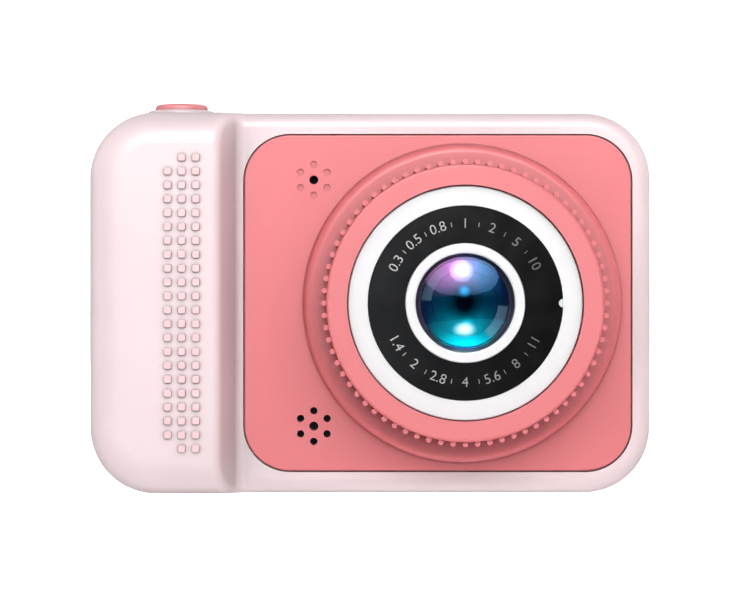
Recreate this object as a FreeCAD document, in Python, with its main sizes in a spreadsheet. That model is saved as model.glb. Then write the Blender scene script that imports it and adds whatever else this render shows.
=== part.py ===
import FreeCAD, Part
import math
import os
import re

import Sketcher

# A children's digital camera, made of the separate pieces that it comes apart into on a bench.
#
# X runs to the right seen from the front, -Y points at the subject and +Z is up.  The origin lies on
# the surface that the camera stands on, under the middle of its outline.  Sizes are millimetres.

SIZES = {
    # Outer form of the casing
    "body_width": 93.3,
    "body_height": 63.4,
    "corner": 11.0,
    "rear": 20.4,
    "frame_front": -7.0,
    "grip_front": -12.5,
    "parting": 9.0,
    "wall": 1.8,
    "grip_edge": 5.4,
    "frame_edge": 2.4,
    "rear_edge": 5.0,
    "crest_x": -25.2,
    "foot_x": -22.0,
    "crest_round": 2.0,
    "seam_width": 0.25,
    "seam_depth": 0.4,
    "past": 1.0,
    # Coral faceplate let into the front
    "plate_left": -21.1,
    "plate_right": 43.4,
    "plate_margin": 3.7,
    "plate_corner": 7.66,
    "plate_thick": 1.4,
    "plate_gap": 0.15,
    "plate_round": 0.3,
    "floor_lip": 2.4,
    "port_x": -9.5,
    "port_rise": 20.5,
    "port_ring": 2.55,
    "port_centre_hole": 0.735,
    "port_hole": 0.6,
    "dimple_depth": 0.35,
    # Lens unit, turned about the lens axis
    "lens_x": 15.2,
    "base_radius": 26.6,
    "base_top_radius": 26.1,
    "base_front": -10.4,
    "base_round": 1.4,
    "tube_radius": 18.0,
    "tube_bore": 16.2,
    "tube_front": -19.2,
    "tube_clearance": 0.12,
    "flange_radius": 24.2,
    "flange_thick": 1.2,
    "lens_screw_circle": 21.8,
    "ring_front": -21.0,
    "ring_back": -10.7,
    "ring_radius": 22.4,
    "ring_running_gap": 0.08,
    "ring_skin": 1.5,
    "ring_face": 2.9,
    "ring_counterbore": 19.05,
    "ring_seat": -18.9,
    "ring_round": 0.45,
    "rib_radius": 0.45,
    "rib_circle": 22.75,
    "rib_setback": 0.7,
    "rib_inset": 0.3,
    "bezel_radius": 18.9,
    "bezel_front": -20.2,
    "bezel_round": 0.25,
    "disc_radius": 15.7,
    "disc_front": -19.9,
    "disc_back": -19.1,
    "disc_play": 0.05,
    "notch_radius": 0.72,
    "ledge_width": 1.3,
    "ledge_back": -18.3,
    "skirt_back": -16.2,
    "skirt_radius": 16.15,
    "skirt_bore": 15.0,
    "trim_radius": 9.66,
    "trim_flange": 0.9,
    "trim_round": 0.2,
    "trim_bore_round": 0.3,
    "dome_radius": 7.94,
    "dome_crest": -20.9,
    "dome_edge": -19.3,
    "holder_back": -17.3,
    "cone_front_radius": 7.2,
    "cone_back": -12.0,
    "socket_back": -5.5,
    "socket_radius": 4.6,
    "holder_wall": 1.3,
    "barrel_radius": 4.4,
    "barrel_front": -11.0,
    "barrel_bevel": 1.1,
    "eye_radius": 2.6,
    "eye_curve": 3.9,
    "eye_proud": 0.3,
    "module_side": 9.5,
    "module_back": -0.6,
    "sensor_side": 16.0,
    "sensor_thick": 1.0,
    # Grip studs
    "stud_side": 1.3,
    "stud_corner": 0.36,
    "stud_round": 0.17,
    "stud_proud": 0.45,
    "stud_sunk": 0.5,
    "stud_inner_x": -28.75,
    "stud_pitch_x": 2.32,
    "stud_pitch_z": 2.279,
    # Shutter button on the top
    "shutter_x": -32.1,
    "shutter_y": 1.0,
    "shutter_radius": 4.4,
    "shutter_top": 65.2,
    "shutter_gap": 0.15,
    "shutter_flange": 0.7,
    "shutter_travel": 0.7,
    "collar_radius": 5.675,
    "collar_top": 64.2,
    "collar_neck": 5.2,
    "plunger_radius": 1.5,
    "plunger_height": 0.5,
    "switch_side": 6.0,
    "switch_height": 1.6,
    "board_thick": 1.2,
    "shelf_top": 53.2,
    "shelf_half": 5.0,
    "collar_round": 0.6,
    "cap_round": 0.6,
    # Screen on the back
    "screen_x": 12.75,
    "window_width": 52.0,
    "window_height": 40.0,
    "window_corner": 3.0,
    "window_thick": 1.0,
    "window_gap": 0.1,
    "view_width": 44.0,
    "view_height": 33.0,
    "lcd_width": 52.0,
    "lcd_height": 37.0,
    "lcd_thick": 2.4,
    # Keys on the back
    "key_top": 21.0,
    "key_gap": 0.2,
    "key_rim": 0.8,
    "key_rim_thick": 0.9,
    "key_stem": 0.45,
    "key_play": 0.1,
    "key_travel": 0.6,
    "key_round": 0.45,
    "pad_x": -28.6,
    "pad_z": 25.1,
    "pad_pitch": 8.2,
    "pad_key": 3.0,
    "dish_radius": 12.8,
    "dish_depth": 0.4,
    "row_z": 47.5,
    "row_pitch": 8.5,
    "row_key": 2.7,
    "key_board_left": -41.2,
    "key_board_right": -15.4,
    "key_board_low": 12.0,
    "key_board_high": 52.5,
    "key_board_inset": 3.0,
    "key_board_drop": 7.65,
    # Circuit board, sockets and card on the +X side
    "board_front": 12.6,
    "board_left": -14.0,
    "board_right": 36.3,
    "board_low": 5.5,
    "board_high": 57.9,
    "board_inset": 3.2,
    "tab_right": 44.0,
    "tab_low": 14.0,
    "tab_high": 51.0,
    "chip_x": 4.0,
    "chip_z": 46.0,
    "chip_side": 11.0,
    "chip_thick": 1.2,
    "memory_x": 19.4,
    "memory_width": 5.5,
    "memory_height": 7.4,
    "flex_width": 6.0,
    "flex_thick": 0.2,
    "flex_drop": 2.0,
    "flex_gap": 1.0,
    "usb_z": 22.0,
    "usb_width": 8.94,
    "usb_height": 3.26,
    "usb_length": 7.3,
    "usb_shell": 0.3,
    "usb_tongue": 0.7,
    "usb_tongue_width": 5.96,
    "usb_floor": 1.0,
    "usb_gap": 0.2,
    "usb_edge": 0.1,
    "card_z": 40.0,
    "card_width": 11.0,
    "card_thick": 1.0,
    "card_length": 15.0,
    "card_shoulder": 7.5,
    "card_step": 1.3,
    "card_slant": 0.75,
    "card_outer": 46.25,
    "card_y": 11.7,
    "card_gap": 0.15,
    "card_push": 0.6,
    "card_grip_depth": 1.2,
    "card_grip_width": 7.4,
    "card_socket_wall": 0.25,
    # Screws
    "post_radius": 2.4,
    "post_x": 39.7,
    "post_z": 7.3,
    "screw_radius": 1.0,
    "screw_head": 1.8,
    "screw_head_thick": 1.1,
    "screw_sink": 6.0,
    "screw_reach": 7.0,
    "drive_width": 0.5,
    "drive_depth": 0.6,
    "drive_share": 0.65,
    "screw_tip_gap": 0.5,
    "small_screw_short": 1.4,
    "small_screw": 0.7,
    "small_head": 1.4,
    "small_head_thick": 0.9,
    "board_post_radius": 2.2,
    # Battery, loudspeaker and microphone
    "battery_left": -40.7,
    "battery_right": -27.2,
    "battery_thick": 6.5,
    "battery_low": 12.0,
    "battery_high": 48.0,
    "battery_corner": 1.5,
    "battery_round": 0.5,
    "speaker_radius": 7.5,
    "speaker_rim": 1.2,
    "speaker_magnet": 5.2,
    "speaker_depth": 4.2,
    "mic_radius": 3.0,
    "mic_depth": 2.5,
    "boot_wall": 0.9,
    "lead_radius": 0.5,
    "lead_apart": 1.2,
    "lead_rise": 2.5,
    "lead_inset": 5.0,
    "lead_landing": 3.0,
    "lead_run": 4.0,
    "speaker_lead_apart": 1.0,
    # Strap bar let into the -X side
    "strap_y": 14.0,
    "strap_z": 17.5,
    "strap_length": 9.0,
    "strap_height": 3.8,
    "strap_depth": 3.4,
    "strap_bar": 0.8,
    "strap_inset": 1.1,
    "strap_wall": 1.4,
}

RIBS = 72
STUD_ROWS = 22
STUD_COLUMNS = 3
PORTS = 6
LENS_SCREWS = 3

# Where the first hole of each circle stands, in degrees from the X axis towards Z
PORT_START = 30
LENS_SCREW_START = 90

# Lengths closer than this, in millimetres, count as equal
NEAR = 1e-3

# How much of the shorter run beside a lead's bend is taken up by the bend
BEND_SHARE = 0.45

# Levels that several pieces share, as expressions over the sizes
MID_Z = "(body_height / 2)"
LENS_Z = MID_Z
INNER_FRONT = "(frame_front + plate_thick + wall)"
REAR_INNER = "(rear - wall)"
BOARD_BACK = "(board_front + board_thick)"
KEY_CONTACT = f"({REAR_INNER} - key_play - key_rim_thick - key_stem - key_travel - key_play)"
KEY_BOARD_BACK = f"({KEY_CONTACT} - plunger_height - switch_height)"
SHUTTER_CONTACT = "(shelf_top + board_thick + switch_height + plunger_height)"

# Keys on the back, named as seen from behind: where each stands, as x and z, and its cap's radius
KEYS = {
    "up_key": ("pad_x", "pad_z + pad_pitch", "pad_key"),
    "down_key": ("pad_x", "pad_z - pad_pitch", "pad_key"),
    "left_key": ("pad_x + pad_pitch", "pad_z", "pad_key"),
    "right_key": ("pad_x - pad_pitch", "pad_z", "pad_key"),
    "ok_key": ("pad_x", "pad_z", "pad_key"),
    "power_key": ("pad_x - row_pitch", "row_z", "row_key"),
    "menu_key": ("pad_x", "row_z", "row_key"),
    "play_key": ("pad_x + row_pitch", "row_z", "row_key"),
}


def ring_points(count, radius, start):
    """Expressions for the offsets of points spaced evenly round a circle."""
    angles = [start + 360 * index / count for index in range(count)]
    return [(f"{radius} * cos({angle} deg)", f"{radius} * sin({angle} deg)") for angle in angles]


def corner_spots(left, right, low, high):
    return [(x, z) for x in (left, right) for z in (low, high)]


# Where the screws stand, as x and z
CASE_SCREW_SPOTS = corner_spots("-post_x", "post_x", "post_z", "body_height - post_z")
BOARD_SCREW_SPOTS = corner_spots(
    "board_left + board_inset",
    "board_right - board_inset",
    "board_low + board_inset",
    "board_high - board_inset",
)
KEY_BOARD_SPOTS = [
    ("key_board_left + key_board_inset", "key_board_low + key_board_inset"),
    ("key_board_right - key_board_inset", "key_board_low + key_board_inset"),
    ("pad_x", "row_z - key_board_drop"),
]
LENS_SCREW_SPOTS = [(f"lens_x + {x}", f"{LENS_Z} + {z}")
                    for x, z in ring_points(LENS_SCREWS, "lens_screw_circle", LENS_SCREW_START)]

doc = FreeCAD.newDocument("kids_camera")
sheet = doc.addObject("Spreadsheet::Sheet", "Sizes")
parts = []


# ---- Sizes and expressions ----

def fill_sheet():
    """Put every driving size in a cell of its own, under its name."""
    for row, (alias, number) in enumerate(SIZES.items(), start=1):
        sheet.set(f"A{row}", str(number))
        sheet.setAlias(f"A{row}", alias)
    doc.recompute()


def full(text):
    """Turn an expression over size names into one that the document can read."""
    return re.sub(r"[a-z_]+", lambda word: f"Sizes.{word[0]}" if word[0] in SIZES else word[0], str(text))


def value(text):
    """The number of millimetres that an expression over size names comes to."""
    return float(sheet.evalExpression(full(text)))


def bind(thing, **properties):
    """Bind properties to expressions; a double underscore in a name stands for a dot."""
    for name, text in properties.items():
        thing.setExpression(name.replace("__", "."), full(text))


def place(thing, x="0", y="0", z="0"):
    bind(thing, Placement__Base__x=x, Placement__Base__y=y, Placement__Base__z=z)
    return thing


def part(name, thing):
    """Name a finished sub-part, which is written to a file of that name."""
    thing.Label = name
    parts.append(thing)
    return thing


# ---- Sketches and features ----

def new_sketch(body, role, offset="0"):
    """A sketch on one of a body's own origin planes, moved along the plane's normal."""
    sketch = body.newObject("Sketcher::SketchObject", f"{body.Name}_sketch")
    plane = next(item for item in body.Origin.OriginFeatures if item.Role == role)
    sketch.AttachmentSupport = [(plane, "")]
    sketch.MapMode = "FlatFace"
    bind(sketch, AttachmentOffset__Base__z=offset)
    return sketch


def constrain(sketch, text, *arguments):
    number = sketch.addConstraint(Sketcher.Constraint(*arguments, value(text)))
    sketch.setExpression(f"Constraints[{number}]", full(text))


def pin_point(sketch, geometry, position, x, y):
    """Hold one point of a sketch at distances from the sketch's origin."""
    constrain(sketch, x, "DistanceX", -1, 1, geometry, position)
    constrain(sketch, y, "DistanceY", -1, 1, geometry, position)


def draw_polygon(sketch, points):
    corners = [FreeCAD.Vector(value(x), value(y), 0) for x, y in points]
    first = sketch.GeometryCount
    for start, end in zip(corners, corners[1:] + corners[:1]):
        sketch.addGeometry(Part.LineSegment(start, end))
    for index, (x, y) in enumerate(points):
        following = first + (index + 1) % len(points)
        sketch.addConstraint(Sketcher.Constraint("Coincident", first + index, 2, following, 1))
        pin_point(sketch, first + index, 1, x, y)


def draw_rectangle(sketch, across, up):
    (left, right), (low, high) = across, up
    draw_polygon(sketch, [(left, low), (right, low), (right, high), (left, high)])


def draw_rounded_rectangle(sketch, across, up, radius):
    """Four quarter circles joined by the straight sides that touch them."""
    (left, right), (low, high) = across, up
    centres = [
        (f"{right} - ({radius})", f"{high} - ({radius})"),
        (f"{left} + ({radius})", f"{high} - ({radius})"),
        (f"{left} + ({radius})", f"{low} + ({radius})"),
        (f"{right} - ({radius})", f"{low} + ({radius})"),
    ]
    corners = []
    for quarter, (x, y) in enumerate(centres):
        centre = FreeCAD.Vector(value(x), value(y), 0)
        circle = Part.Circle(centre, FreeCAD.Vector(0, 0, 1), value(radius))
        arc = Part.ArcOfCircle(circle, quarter * math.pi / 2, (quarter + 1) * math.pi / 2)
        corners.append(sketch.addGeometry(arc))
        pin_point(sketch, corners[-1], 3, x, y)
        constrain(sketch, radius, "Radius", corners[-1])
    for here, following in zip(corners, corners[1:] + corners[:1]):
        start, end = sketch.Geometry[here].EndPoint, sketch.Geometry[following].StartPoint
        side = sketch.addGeometry(Part.LineSegment(start, end))
        sketch.addConstraint(Sketcher.Constraint("Tangent", here, 2, side, 1))
        sketch.addConstraint(Sketcher.Constraint("Tangent", side, 2, following, 1))


def draw_circle(sketch, x, y, radius):
    centre = FreeCAD.Vector(value(x), value(y), 0)
    circle = sketch.addGeometry(Part.Circle(centre, FreeCAD.Vector(0, 0, 1), value(radius)))
    pin_point(sketch, circle, 3, x, y)
    constrain(sketch, radius, "Radius", circle)


def new_body(name):
    return doc.addObject("PartDesign::Body", name)


def pad(body, sketch, length):
    """Extrude a sketch along its normal: forwards, towards -Y, for a sketch on the XZ plane."""
    feature = body.newObject("PartDesign::Pad", f"{body.Name}_pad")
    feature.Profile = sketch
    bind(feature, Length=length)
    doc.recompute()
    return feature


def round_edges(body, radius, wanted):
    """Fillet those edges of the body so far for which wanted(edge) is true."""
    doc.recompute()
    base = body.Tip
    names = [f"Edge{n}" for n, edge in enumerate(base.Shape.Edges, start=1) if wanted(edge)]
    if not names:
        raise ValueError(f"no edge to round on {body.Name}")
    feature = body.newObject("PartDesign::Fillet", f"{body.Name}_fillet")
    feature.Base = (base, names)
    bind(feature, Radius=radius)
    doc.recompute()
    return feature


def lies_at(edge, **levels):
    """Whether an edge lies wholly in planes such as y=0, given as expressions."""
    box = edge.BoundBox
    spans = {"x": (box.XMin, box.XMax), "y": (box.YMin, box.YMax), "z": (box.ZMin, box.ZMax)}
    return all(abs(end - value(text)) < NEAR for axis, text in levels.items() for end in spans[axis])


def runs_along(edge, axis):
    """Whether an edge is a straight line parallel to one axis."""
    if edge.Curve.TypeId != "Part::GeomLine":
        return False
    return abs(abs(getattr(edge.tangentAt(edge.FirstParameter), axis)) - 1) < NEAR


# ---- Shapes that several pieces share ----

def turned(name, profile, x, z, rounded=()):
    """A piece turned about a Y axis, from (y, radius) pairs, with some of its rims rounded."""
    body = new_body(name)
    sketch = new_sketch(body, "YZ_Plane")
    draw_polygon(sketch, profile)
    turn = body.newObject("PartDesign::Revolution", f"{name}_turn")
    turn.Profile = sketch
    turn.ReferenceAxis = (sketch, ["H_Axis"])
    doc.recompute()
    for y, rim, radius in rounded:
        round_edges(body, radius, lambda edge: is_rim(edge, "y", y, rim))
    return place(body, x=x, z=z)


def is_rim(edge, axis, level, radius):
    """Whether an edge is a circle of a given radius that lies in one plane across an axis."""
    if edge.Curve.TypeId != "Part::GeomCircle":
        return False
    return lies_at(edge, **{axis: level}) and abs(edge.Curve.Radius - value(radius)) < NEAR


def upright(name, profile, x, y, rounded=()):
    """A piece turned about a Z axis, from (z, radius) pairs."""
    body = new_body(name)
    sketch = new_sketch(body, "XZ_Plane")
    draw_polygon(sketch, [(radius, z) for z, radius in profile])
    turn = body.newObject("PartDesign::Revolution", f"{name}_turn")
    turn.Profile = sketch
    turn.ReferenceAxis = (sketch, ["V_Axis"])
    doc.recompute()
    for z, rim, radius in rounded:
        round_edges(body, radius, lambda edge: is_rim(edge, "z", z, rim))
    return place(body, x=x, y=y)


def slab(name, across, depth, up, corner, front_round=None):
    """A plate facing -Y with rounded corners, and optionally a rounded front edge."""
    front, back = depth
    body = new_body(name)
    sketch = new_sketch(body, "XZ_Plane", f"-({back})")
    draw_rectangle(sketch, across, up)
    pad(body, sketch, f"({back}) - ({front})")
    round_edges(body, corner, lambda edge: runs_along(edge, "y"))
    if front_round:
        round_edges(body, front_round, lambda edge: lies_at(edge, y=front))
    return body


def bar(name, across, depth, up, corner):
    """A box whose four edges along X are rounded."""
    left, right = across
    body = new_body(name)
    sketch = new_sketch(body, "YZ_Plane", left)
    draw_rectangle(sketch, depth, up)
    pad(body, sketch, f"({right}) - ({left})")
    round_edges(body, corner, lambda edge: runs_along(edge, "x"))
    return body


def block(name, across, depth, up):
    """A plain box between three pairs of limits."""
    box = doc.addObject("Part::Box", name)
    spans = {"Length": across, "Width": depth, "Height": up}
    bind(box, **{side: f"({high}) - ({low})" for side, (low, high) in spans.items()})
    return place(box, x=across[0], y=depth[0], z=up[0])


def rod(name, radius, x, z, depth):
    """A cylinder along Y between two limits."""
    front, back = depth
    cylinder = doc.addObject("Part::Cylinder", name)
    bind(cylinder, Radius=radius, Height=f"({back}) - ({front})")
    cylinder.Placement.Rotation = FreeCAD.Rotation(FreeCAD.Vector(1, 0, 0), -90)
    return place(cylinder, x=x, y=front, z=z)


def pin(name, radius, x, y, up):
    """A cylinder along Z between two limits."""
    low, high = up
    cylinder = doc.addObject("Part::Cylinder", name)
    bind(cylinder, Radius=radius, Height=f"({high}) - ({low})")
    return place(cylinder, x=x, y=y, z=low)


def fused(name, pieces):
    union = doc.addObject("Part::MultiFuse", name)
    union.Shapes = pieces
    return union


def cut(name, base, tools):
    """Take several tools away from a base."""
    result = doc.addObject("Part::Cut", name)
    result.Base = base
    result.Tool = tools[0] if len(tools) == 1 else fused(f"{name}_tools", tools)
    return result


def overlap(name, base, tool):
    result = doc.addObject("Part::Common", name)
    result.Base = base
    result.Tool = tool
    return result


def about(centre, half):
    """The pair of limits either side of a centre."""
    return f"({centre}) - ({half})", f"({centre}) + ({half})"


def ordered(first, second):
    """Two levels as a pair with the lower one first."""
    return tuple(sorted((first, second), key=value))


def repeated(name, shape, spots):
    """Copies of one shape, modelled on the Y axis, at several (x, z) places."""
    places = [FreeCAD.Vector(value(x), 0, value(z)) for x, z in spots]
    copies = doc.addObject("Part::Feature", name)
    copies.Shape = Part.makeCompound([shape.translated(spot) for spot in places])
    return copies


# ---- Casing ----

def casing_form(name, shrink):
    """The whole outer form of the casing, or the same form with every face moved in by an amount."""
    body = new_body(name)
    sketch = new_sketch(body, "XZ_Plane", f"{shrink} - rear")
    draw_rounded_rectangle(
        sketch,
        (f"-body_width / 2 + {shrink}", f"body_width / 2 - {shrink}"),
        (f"{shrink}", f"body_height - {shrink}"),
        f"corner - {shrink}",
    )
    pad(body, sketch, f"rear - grip_front - 2 * {shrink}")
    round_edges(body, f"grip_edge - {shrink}", lambda edge: lies_at(edge, y=f"grip_front + {shrink}"))
    round_edges(body, f"rear_edge - {shrink}", lambda edge: lies_at(edge, y=f"rear - {shrink}"))
    step_front_back(body, shrink)
    round_frame_edge(body, shrink)
    return body


def slope_x(y, shrink):
    """Where the sloping side of the grip lies at a given y."""
    slope = "((foot_x - crest_x) / (frame_front - grip_front))"
    return f"crest_x - {shrink} * sqrt(1 + {slope} ^ 2) + ({y} - grip_front) * {slope}"


def step_front_back(body, shrink):
    """Cut away the front beside the grip, down a slope to the level of the frame."""
    beyond = "(grip_front - past)"
    level = f"(frame_front + {shrink})"
    outside = "(body_width / 2 + past)"
    sketch = new_sketch(body, "XY_Plane", "-past")
    draw_polygon(sketch, [
        (slope_x(beyond, shrink), beyond),
        (outside, beyond),
        (outside, level),
        (slope_x(level, shrink), level),
    ])
    volume = body.Tip.Shape.Volume
    pocket = body.newObject("PartDesign::Pocket", f"{body.Name}_step")
    pocket.Profile = sketch
    pocket.Reversed = True
    bind(pocket, Length="body_height + 2 * past")
    doc.recompute()
    if pocket.Shape.Volume >= volume:
        raise ValueError("the step beside the grip cut nothing")


def round_frame_edge(body, shrink):
    """Round the outer edge of the frame, then every edge that the slope makes."""
    level = f"frame_front + {shrink}"
    foot = value(slope_x(level, shrink))
    round_edges(
        body,
        f"frame_edge - {shrink}",
        lambda edge: lies_at(edge, y=level) and edge.BoundBox.XMax > foot + NEAR,
    )
    round_edges(
        body,
        f"crest_round - {shrink}",
        lambda edge: lies_on_slope(edge, shrink) and not lies_at(edge, y=level),
    )


def lies_on_slope(edge, shrink):
    """Whether both ends and the middle of an edge lie in the plane of the slope."""
    first, last = edge.ParameterRange
    samples = [edge.valueAt(first + (last - first) * share) for share in (0, 0.5, 1)]
    return all(abs(point.x - value(slope_x(point.y, shrink))) < NEAR for point in samples)


def half_space(name, front, back):
    """A box wider than the camera between two levels of y."""
    beyond = about("0", "body_width")
    return block(name, beyond, (front, back), ("-wall", "body_height + wall"))


def rods(name, spots, radius, depth):
    """A cylinder along Y, which may serve as a post or a hole, at every (x, z) spot."""
    return [rod(f"{name}_{n}", radius, x, z, depth) for n, (x, z) in enumerate(spots)]


def port_holes(name, rise, radius, depth, centre_depth):
    """A hole with six more round it, at a height above the middle of the camera."""
    holes = [rod(f"{name}_middle", "port_centre_hole", "port_x", f"{MID_Z} + {rise}", centre_depth)]
    for n, (x, z) in enumerate(ring_points(PORTS, "port_ring", PORT_START)):
        holes.append(rod(f"{name}_{n}", radius, f"port_x + {x}", f"{MID_Z} + {rise} + {z}", depth))
    return holes


def plate_outline(grow):
    """The faceplate's limits across and upwards, grown by a gap on every side."""
    across = (f"plate_left - {grow}", f"plate_right + {grow}")
    up = (f"plate_margin - {grow}", f"body_height - plate_margin + {grow}")
    return across, up


def stud_spots():
    """The studs stand in three columns; the one by the crest of the grip is two rows shorter."""
    spots = []
    for column in range(STUD_COLUMNS):
        missing = 1 if column == STUD_COLUMNS - 1 else 0
        for row in range(missing, STUD_ROWS - missing):
            x = f"stud_inner_x - {column} * stud_pitch_x"
            z = f"{MID_Z} + {row - (STUD_ROWS - 1) / 2} * stud_pitch_z"
            spots.append((x, z))
    return spots


def stud_solid(front, back):
    """A square solid with rounded corners on the Y axis, between two levels of y."""
    side = value("stud_side")
    corner = FreeCAD.Vector(-side / 2, value(front), -side / 2)
    solid = Part.makeBox(side, value(back) - value(front), side, corner)
    return solid.makeFillet(value("stud_corner"), [edge for edge in solid.Edges if runs_along(edge, "y")])


def make_front_shell(outer, inner):
    """The front half: frame and grip in one, with the faceplate's recess and its floor."""
    shell = overlap("front_half", outer, half_space("front_space", "grip_front - wall", "parting"))
    hollow = cut("front_hollow", shell, [inner])
    across, up = plate_outline("floor_lip")
    floor_depth = ("frame_front + plate_thick", INNER_FRONT)
    floor = slab("plate_floor", across, floor_depth, up, "plate_corner + floor_lip")
    shelf = block(
        "shutter_shelf",
        about("shutter_x", "shelf_half"),
        ("grip_front + wall / 2", "shutter_y + shelf_half"),
        ("shelf_top - wall", "shelf_top"),
    )
    screw_posts = rods("front_post", CASE_SCREW_SPOTS, "post_radius", ("grip_front + wall / 2", "parting"))
    solid = fused("front_solid", [hollow, floor, shelf] + screw_posts)
    trimmed = overlap("front_trimmed", solid, outer)
    across, up = plate_outline("plate_gap")
    level = "frame_front + plate_thick"
    recess = slab("plate_recess", across, ("frame_front - past", level), up, "plate_corner + plate_gap")
    through = ("frame_front - past", f"{INNER_FRONT} + past")
    collar_way = ("body_height - 2 * wall", "shutter_top")
    pilot_depth = ("parting - screw_reach", "parting + past")
    holes = [
        recess,
        rod("tube_hole", "tube_radius + tube_clearance", "lens_x", LENS_Z, through),
        rod("mic_hole", "port_centre_hole", "port_x", f"{MID_Z} + port_rise", through),
        pin("collar_hole", "collar_neck", "shutter_x", "shutter_y", collar_way),
        repeated("stud_pockets", stud_solid("grip_front - past", "grip_front + stud_sunk"), stud_spots()),
    ]
    holes += port_holes("shell_speaker", "-port_rise", "port_hole", through, through)
    holes += rods("shell_lens", LENS_SCREW_SPOTS, "small_screw", through)
    holes += rods("front_pilot", CASE_SCREW_SPOTS, "screw_radius", pilot_depth)
    return part("front_shell", cut("front_shell", trimmed, holes))


def key_holes():
    """An opening in the back for every key, and the shallow dish round the five of the pad."""
    through = (f"{REAR_INNER} - past", "rear + past")
    holes = [rod(f"{name}_hole", f"{radius} + key_gap", x, z, through)
             for name, (x, z, radius) in KEYS.items()]
    holes.append(rod("pad_dish", "dish_radius", "pad_x", "pad_z", ("rear - dish_depth", "rear + past")))
    return holes


def side_openings():
    """The openings in the +X side for the charging socket and the memory card."""
    outside = "body_width / 2 + past"
    inside = "body_width / 2 - 2 * wall"
    usb_half = "usb_height / 2 + usb_gap"
    usb = bar("usb_opening", (inside, outside), about("board_front - usb_height / 2", usb_half),
              about("usb_z", "usb_width / 2 + usb_gap"), f"{usb_half} - usb_edge")
    card = block("card_opening", (inside, outside), about("card_y", "card_thick / 2 + card_gap"),
                 about("card_z", "card_width / 2 + card_gap"))
    scoop = block("card_scoop", ("body_width / 2 - card_grip_depth", outside),
                  about("card_y", "card_thick + card_gap"), about("card_z", "card_grip_width / 2"))
    return [usb, card, scoop]


def make_rear_shell(outer, inner, seam):
    """The rear half: the back wall with the screen's window and keys, and the side openings."""
    shell = overlap("rear_half", outer, half_space("rear_space", "parting", "rear + wall"))
    hollow = cut("rear_hollow", shell, [inner])
    screw_posts = rods("rear_post", CASE_SCREW_SPOTS, "post_radius", ("parting", REAR_INNER))
    stands = rods("board_post", BOARD_SCREW_SPOTS, "board_post_radius", (BOARD_BACK, REAR_INNER))
    stands += rods("key_post", KEY_BOARD_SPOTS, "board_post_radius", (KEY_BOARD_BACK, REAR_INNER))
    pouch = block(
        "strap_pouch",
        ("-body_width / 2 + wall / 2", "-body_width / 2 + strap_depth + strap_wall"),
        about("strap_y", "strap_height / 2 + strap_wall"),
        about("strap_z", "strap_length / 2 + strap_wall"),
    )
    solid = fused("rear_solid", [hollow, pouch] + screw_posts + stands)
    seam_band = cut("seam_band", half_space("seam_space", "parting - past", "parting + seam_width"), [seam])
    window_across = about("screen_x", "window_width / 2 + window_gap")
    window_depth = ("rear - window_thick", "rear + past")
    window_up = about(MID_Z, "window_height / 2 + window_gap")
    pilot_end = f"{REAR_INNER} - key_gap"
    holes = [
        seam_band,
        slab("window_recess", window_across, window_depth, window_up, "window_corner"),
        block("view_opening", about("screen_x", "view_width / 2"), (f"{REAR_INNER} - past", "rear"),
              about(MID_Z, "view_height / 2")),
        block("strap_recess", ("-body_width", "-body_width / 2 + strap_depth"),
              about("strap_y", "strap_height / 2"), about("strap_z", "strap_length / 2")),
        pin("strap_bar_hole", "strap_bar", "-body_width / 2 + strap_inset + strap_bar", "strap_y",
            about("strap_z", "strap_length / 2 + strap_wall / 2")),
    ]
    holes += key_holes() + side_openings()
    holes += rods("screw_way", CASE_SCREW_SPOTS, "screw_radius", ("parting - past", "rear"))
    well_depth = ("rear - screw_sink", "rear + past")
    holes += rods("screw_well", CASE_SCREW_SPOTS, "screw_head + key_gap", well_depth)
    holes += rods("board_pilot", BOARD_SCREW_SPOTS, "small_screw", (f"{BOARD_BACK} - past", pilot_end))
    holes += rods("key_pilot", KEY_BOARD_SPOTS, "small_screw", (f"{KEY_BOARD_BACK} - past", pilot_end))
    return part("rear_shell", cut("rear_shell", solid, holes))


def make_faceplate():
    """The coral plate round the lens, with the microphone's and the loudspeaker's holes."""
    across, up = plate_outline("0")
    depth = ("frame_front", "frame_front + plate_thick")
    through = ("frame_front - past", "frame_front + plate_thick + past")
    plate = slab("plate_blank", across, depth, up, "plate_corner", "plate_round")
    dimple = ("frame_front - past", "frame_front + dimple_depth")
    holes = [rod("plate_lens_hole", "tube_radius + tube_clearance", "lens_x", LENS_Z, through)]
    holes += port_holes("plate_mic", "port_rise", "port_hole", dimple, through)
    holes += port_holes("plate_speaker", "-port_rise", "port_hole", through, through)
    holes += rods("plate_lens", LENS_SCREW_SPOTS, "small_screw", through)
    return part("faceplate", cut("faceplate", plate, holes))


def make_grip_studs():
    """Soft studs seated in shallow pockets on the front of the grip."""
    front = "grip_front - stud_proud"
    solid = stud_solid(front, "grip_front + stud_sunk")
    rims = [edge for edge in solid.Edges if lies_at(edge, y=front)]
    solid = solid.makeFillet(value("stud_round"), rims)
    return part("grip_studs", repeated("grip_studs", solid, stud_spots()))


def make_strap_bar():
    """The metal pin that a wrist strap is looped round."""
    up = about("strap_z", "strap_length / 2 + strap_wall / 2")
    x = "-body_width / 2 + strap_inset + strap_bar"
    return part("strap_bar", pin("strap_bar", "strap_bar", x, "strap_y", up))


# ---- Lens unit ----

def on_lens(name, profile, rounded=()):
    return turned(name, profile, "lens_x", LENS_Z, rounded)


def make_lens_base():
    """The raised round boss on the faceplate that the lens unit stands on."""
    bore = "tube_radius + tube_clearance"
    blank = on_lens("base_blank", [
        ("frame_front", bore),
        ("frame_front", "base_radius"),
        ("base_front", "base_top_radius"),
        ("base_front", bore),
    ], [("base_front", "base_top_radius", "base_round")])
    pilots = rods("base_pilot", LENS_SCREW_SPOTS, "small_screw", ("base_front + past", "frame_front + past"))
    return part("lens_base", cut("lens_base", blank, pilots))


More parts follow.
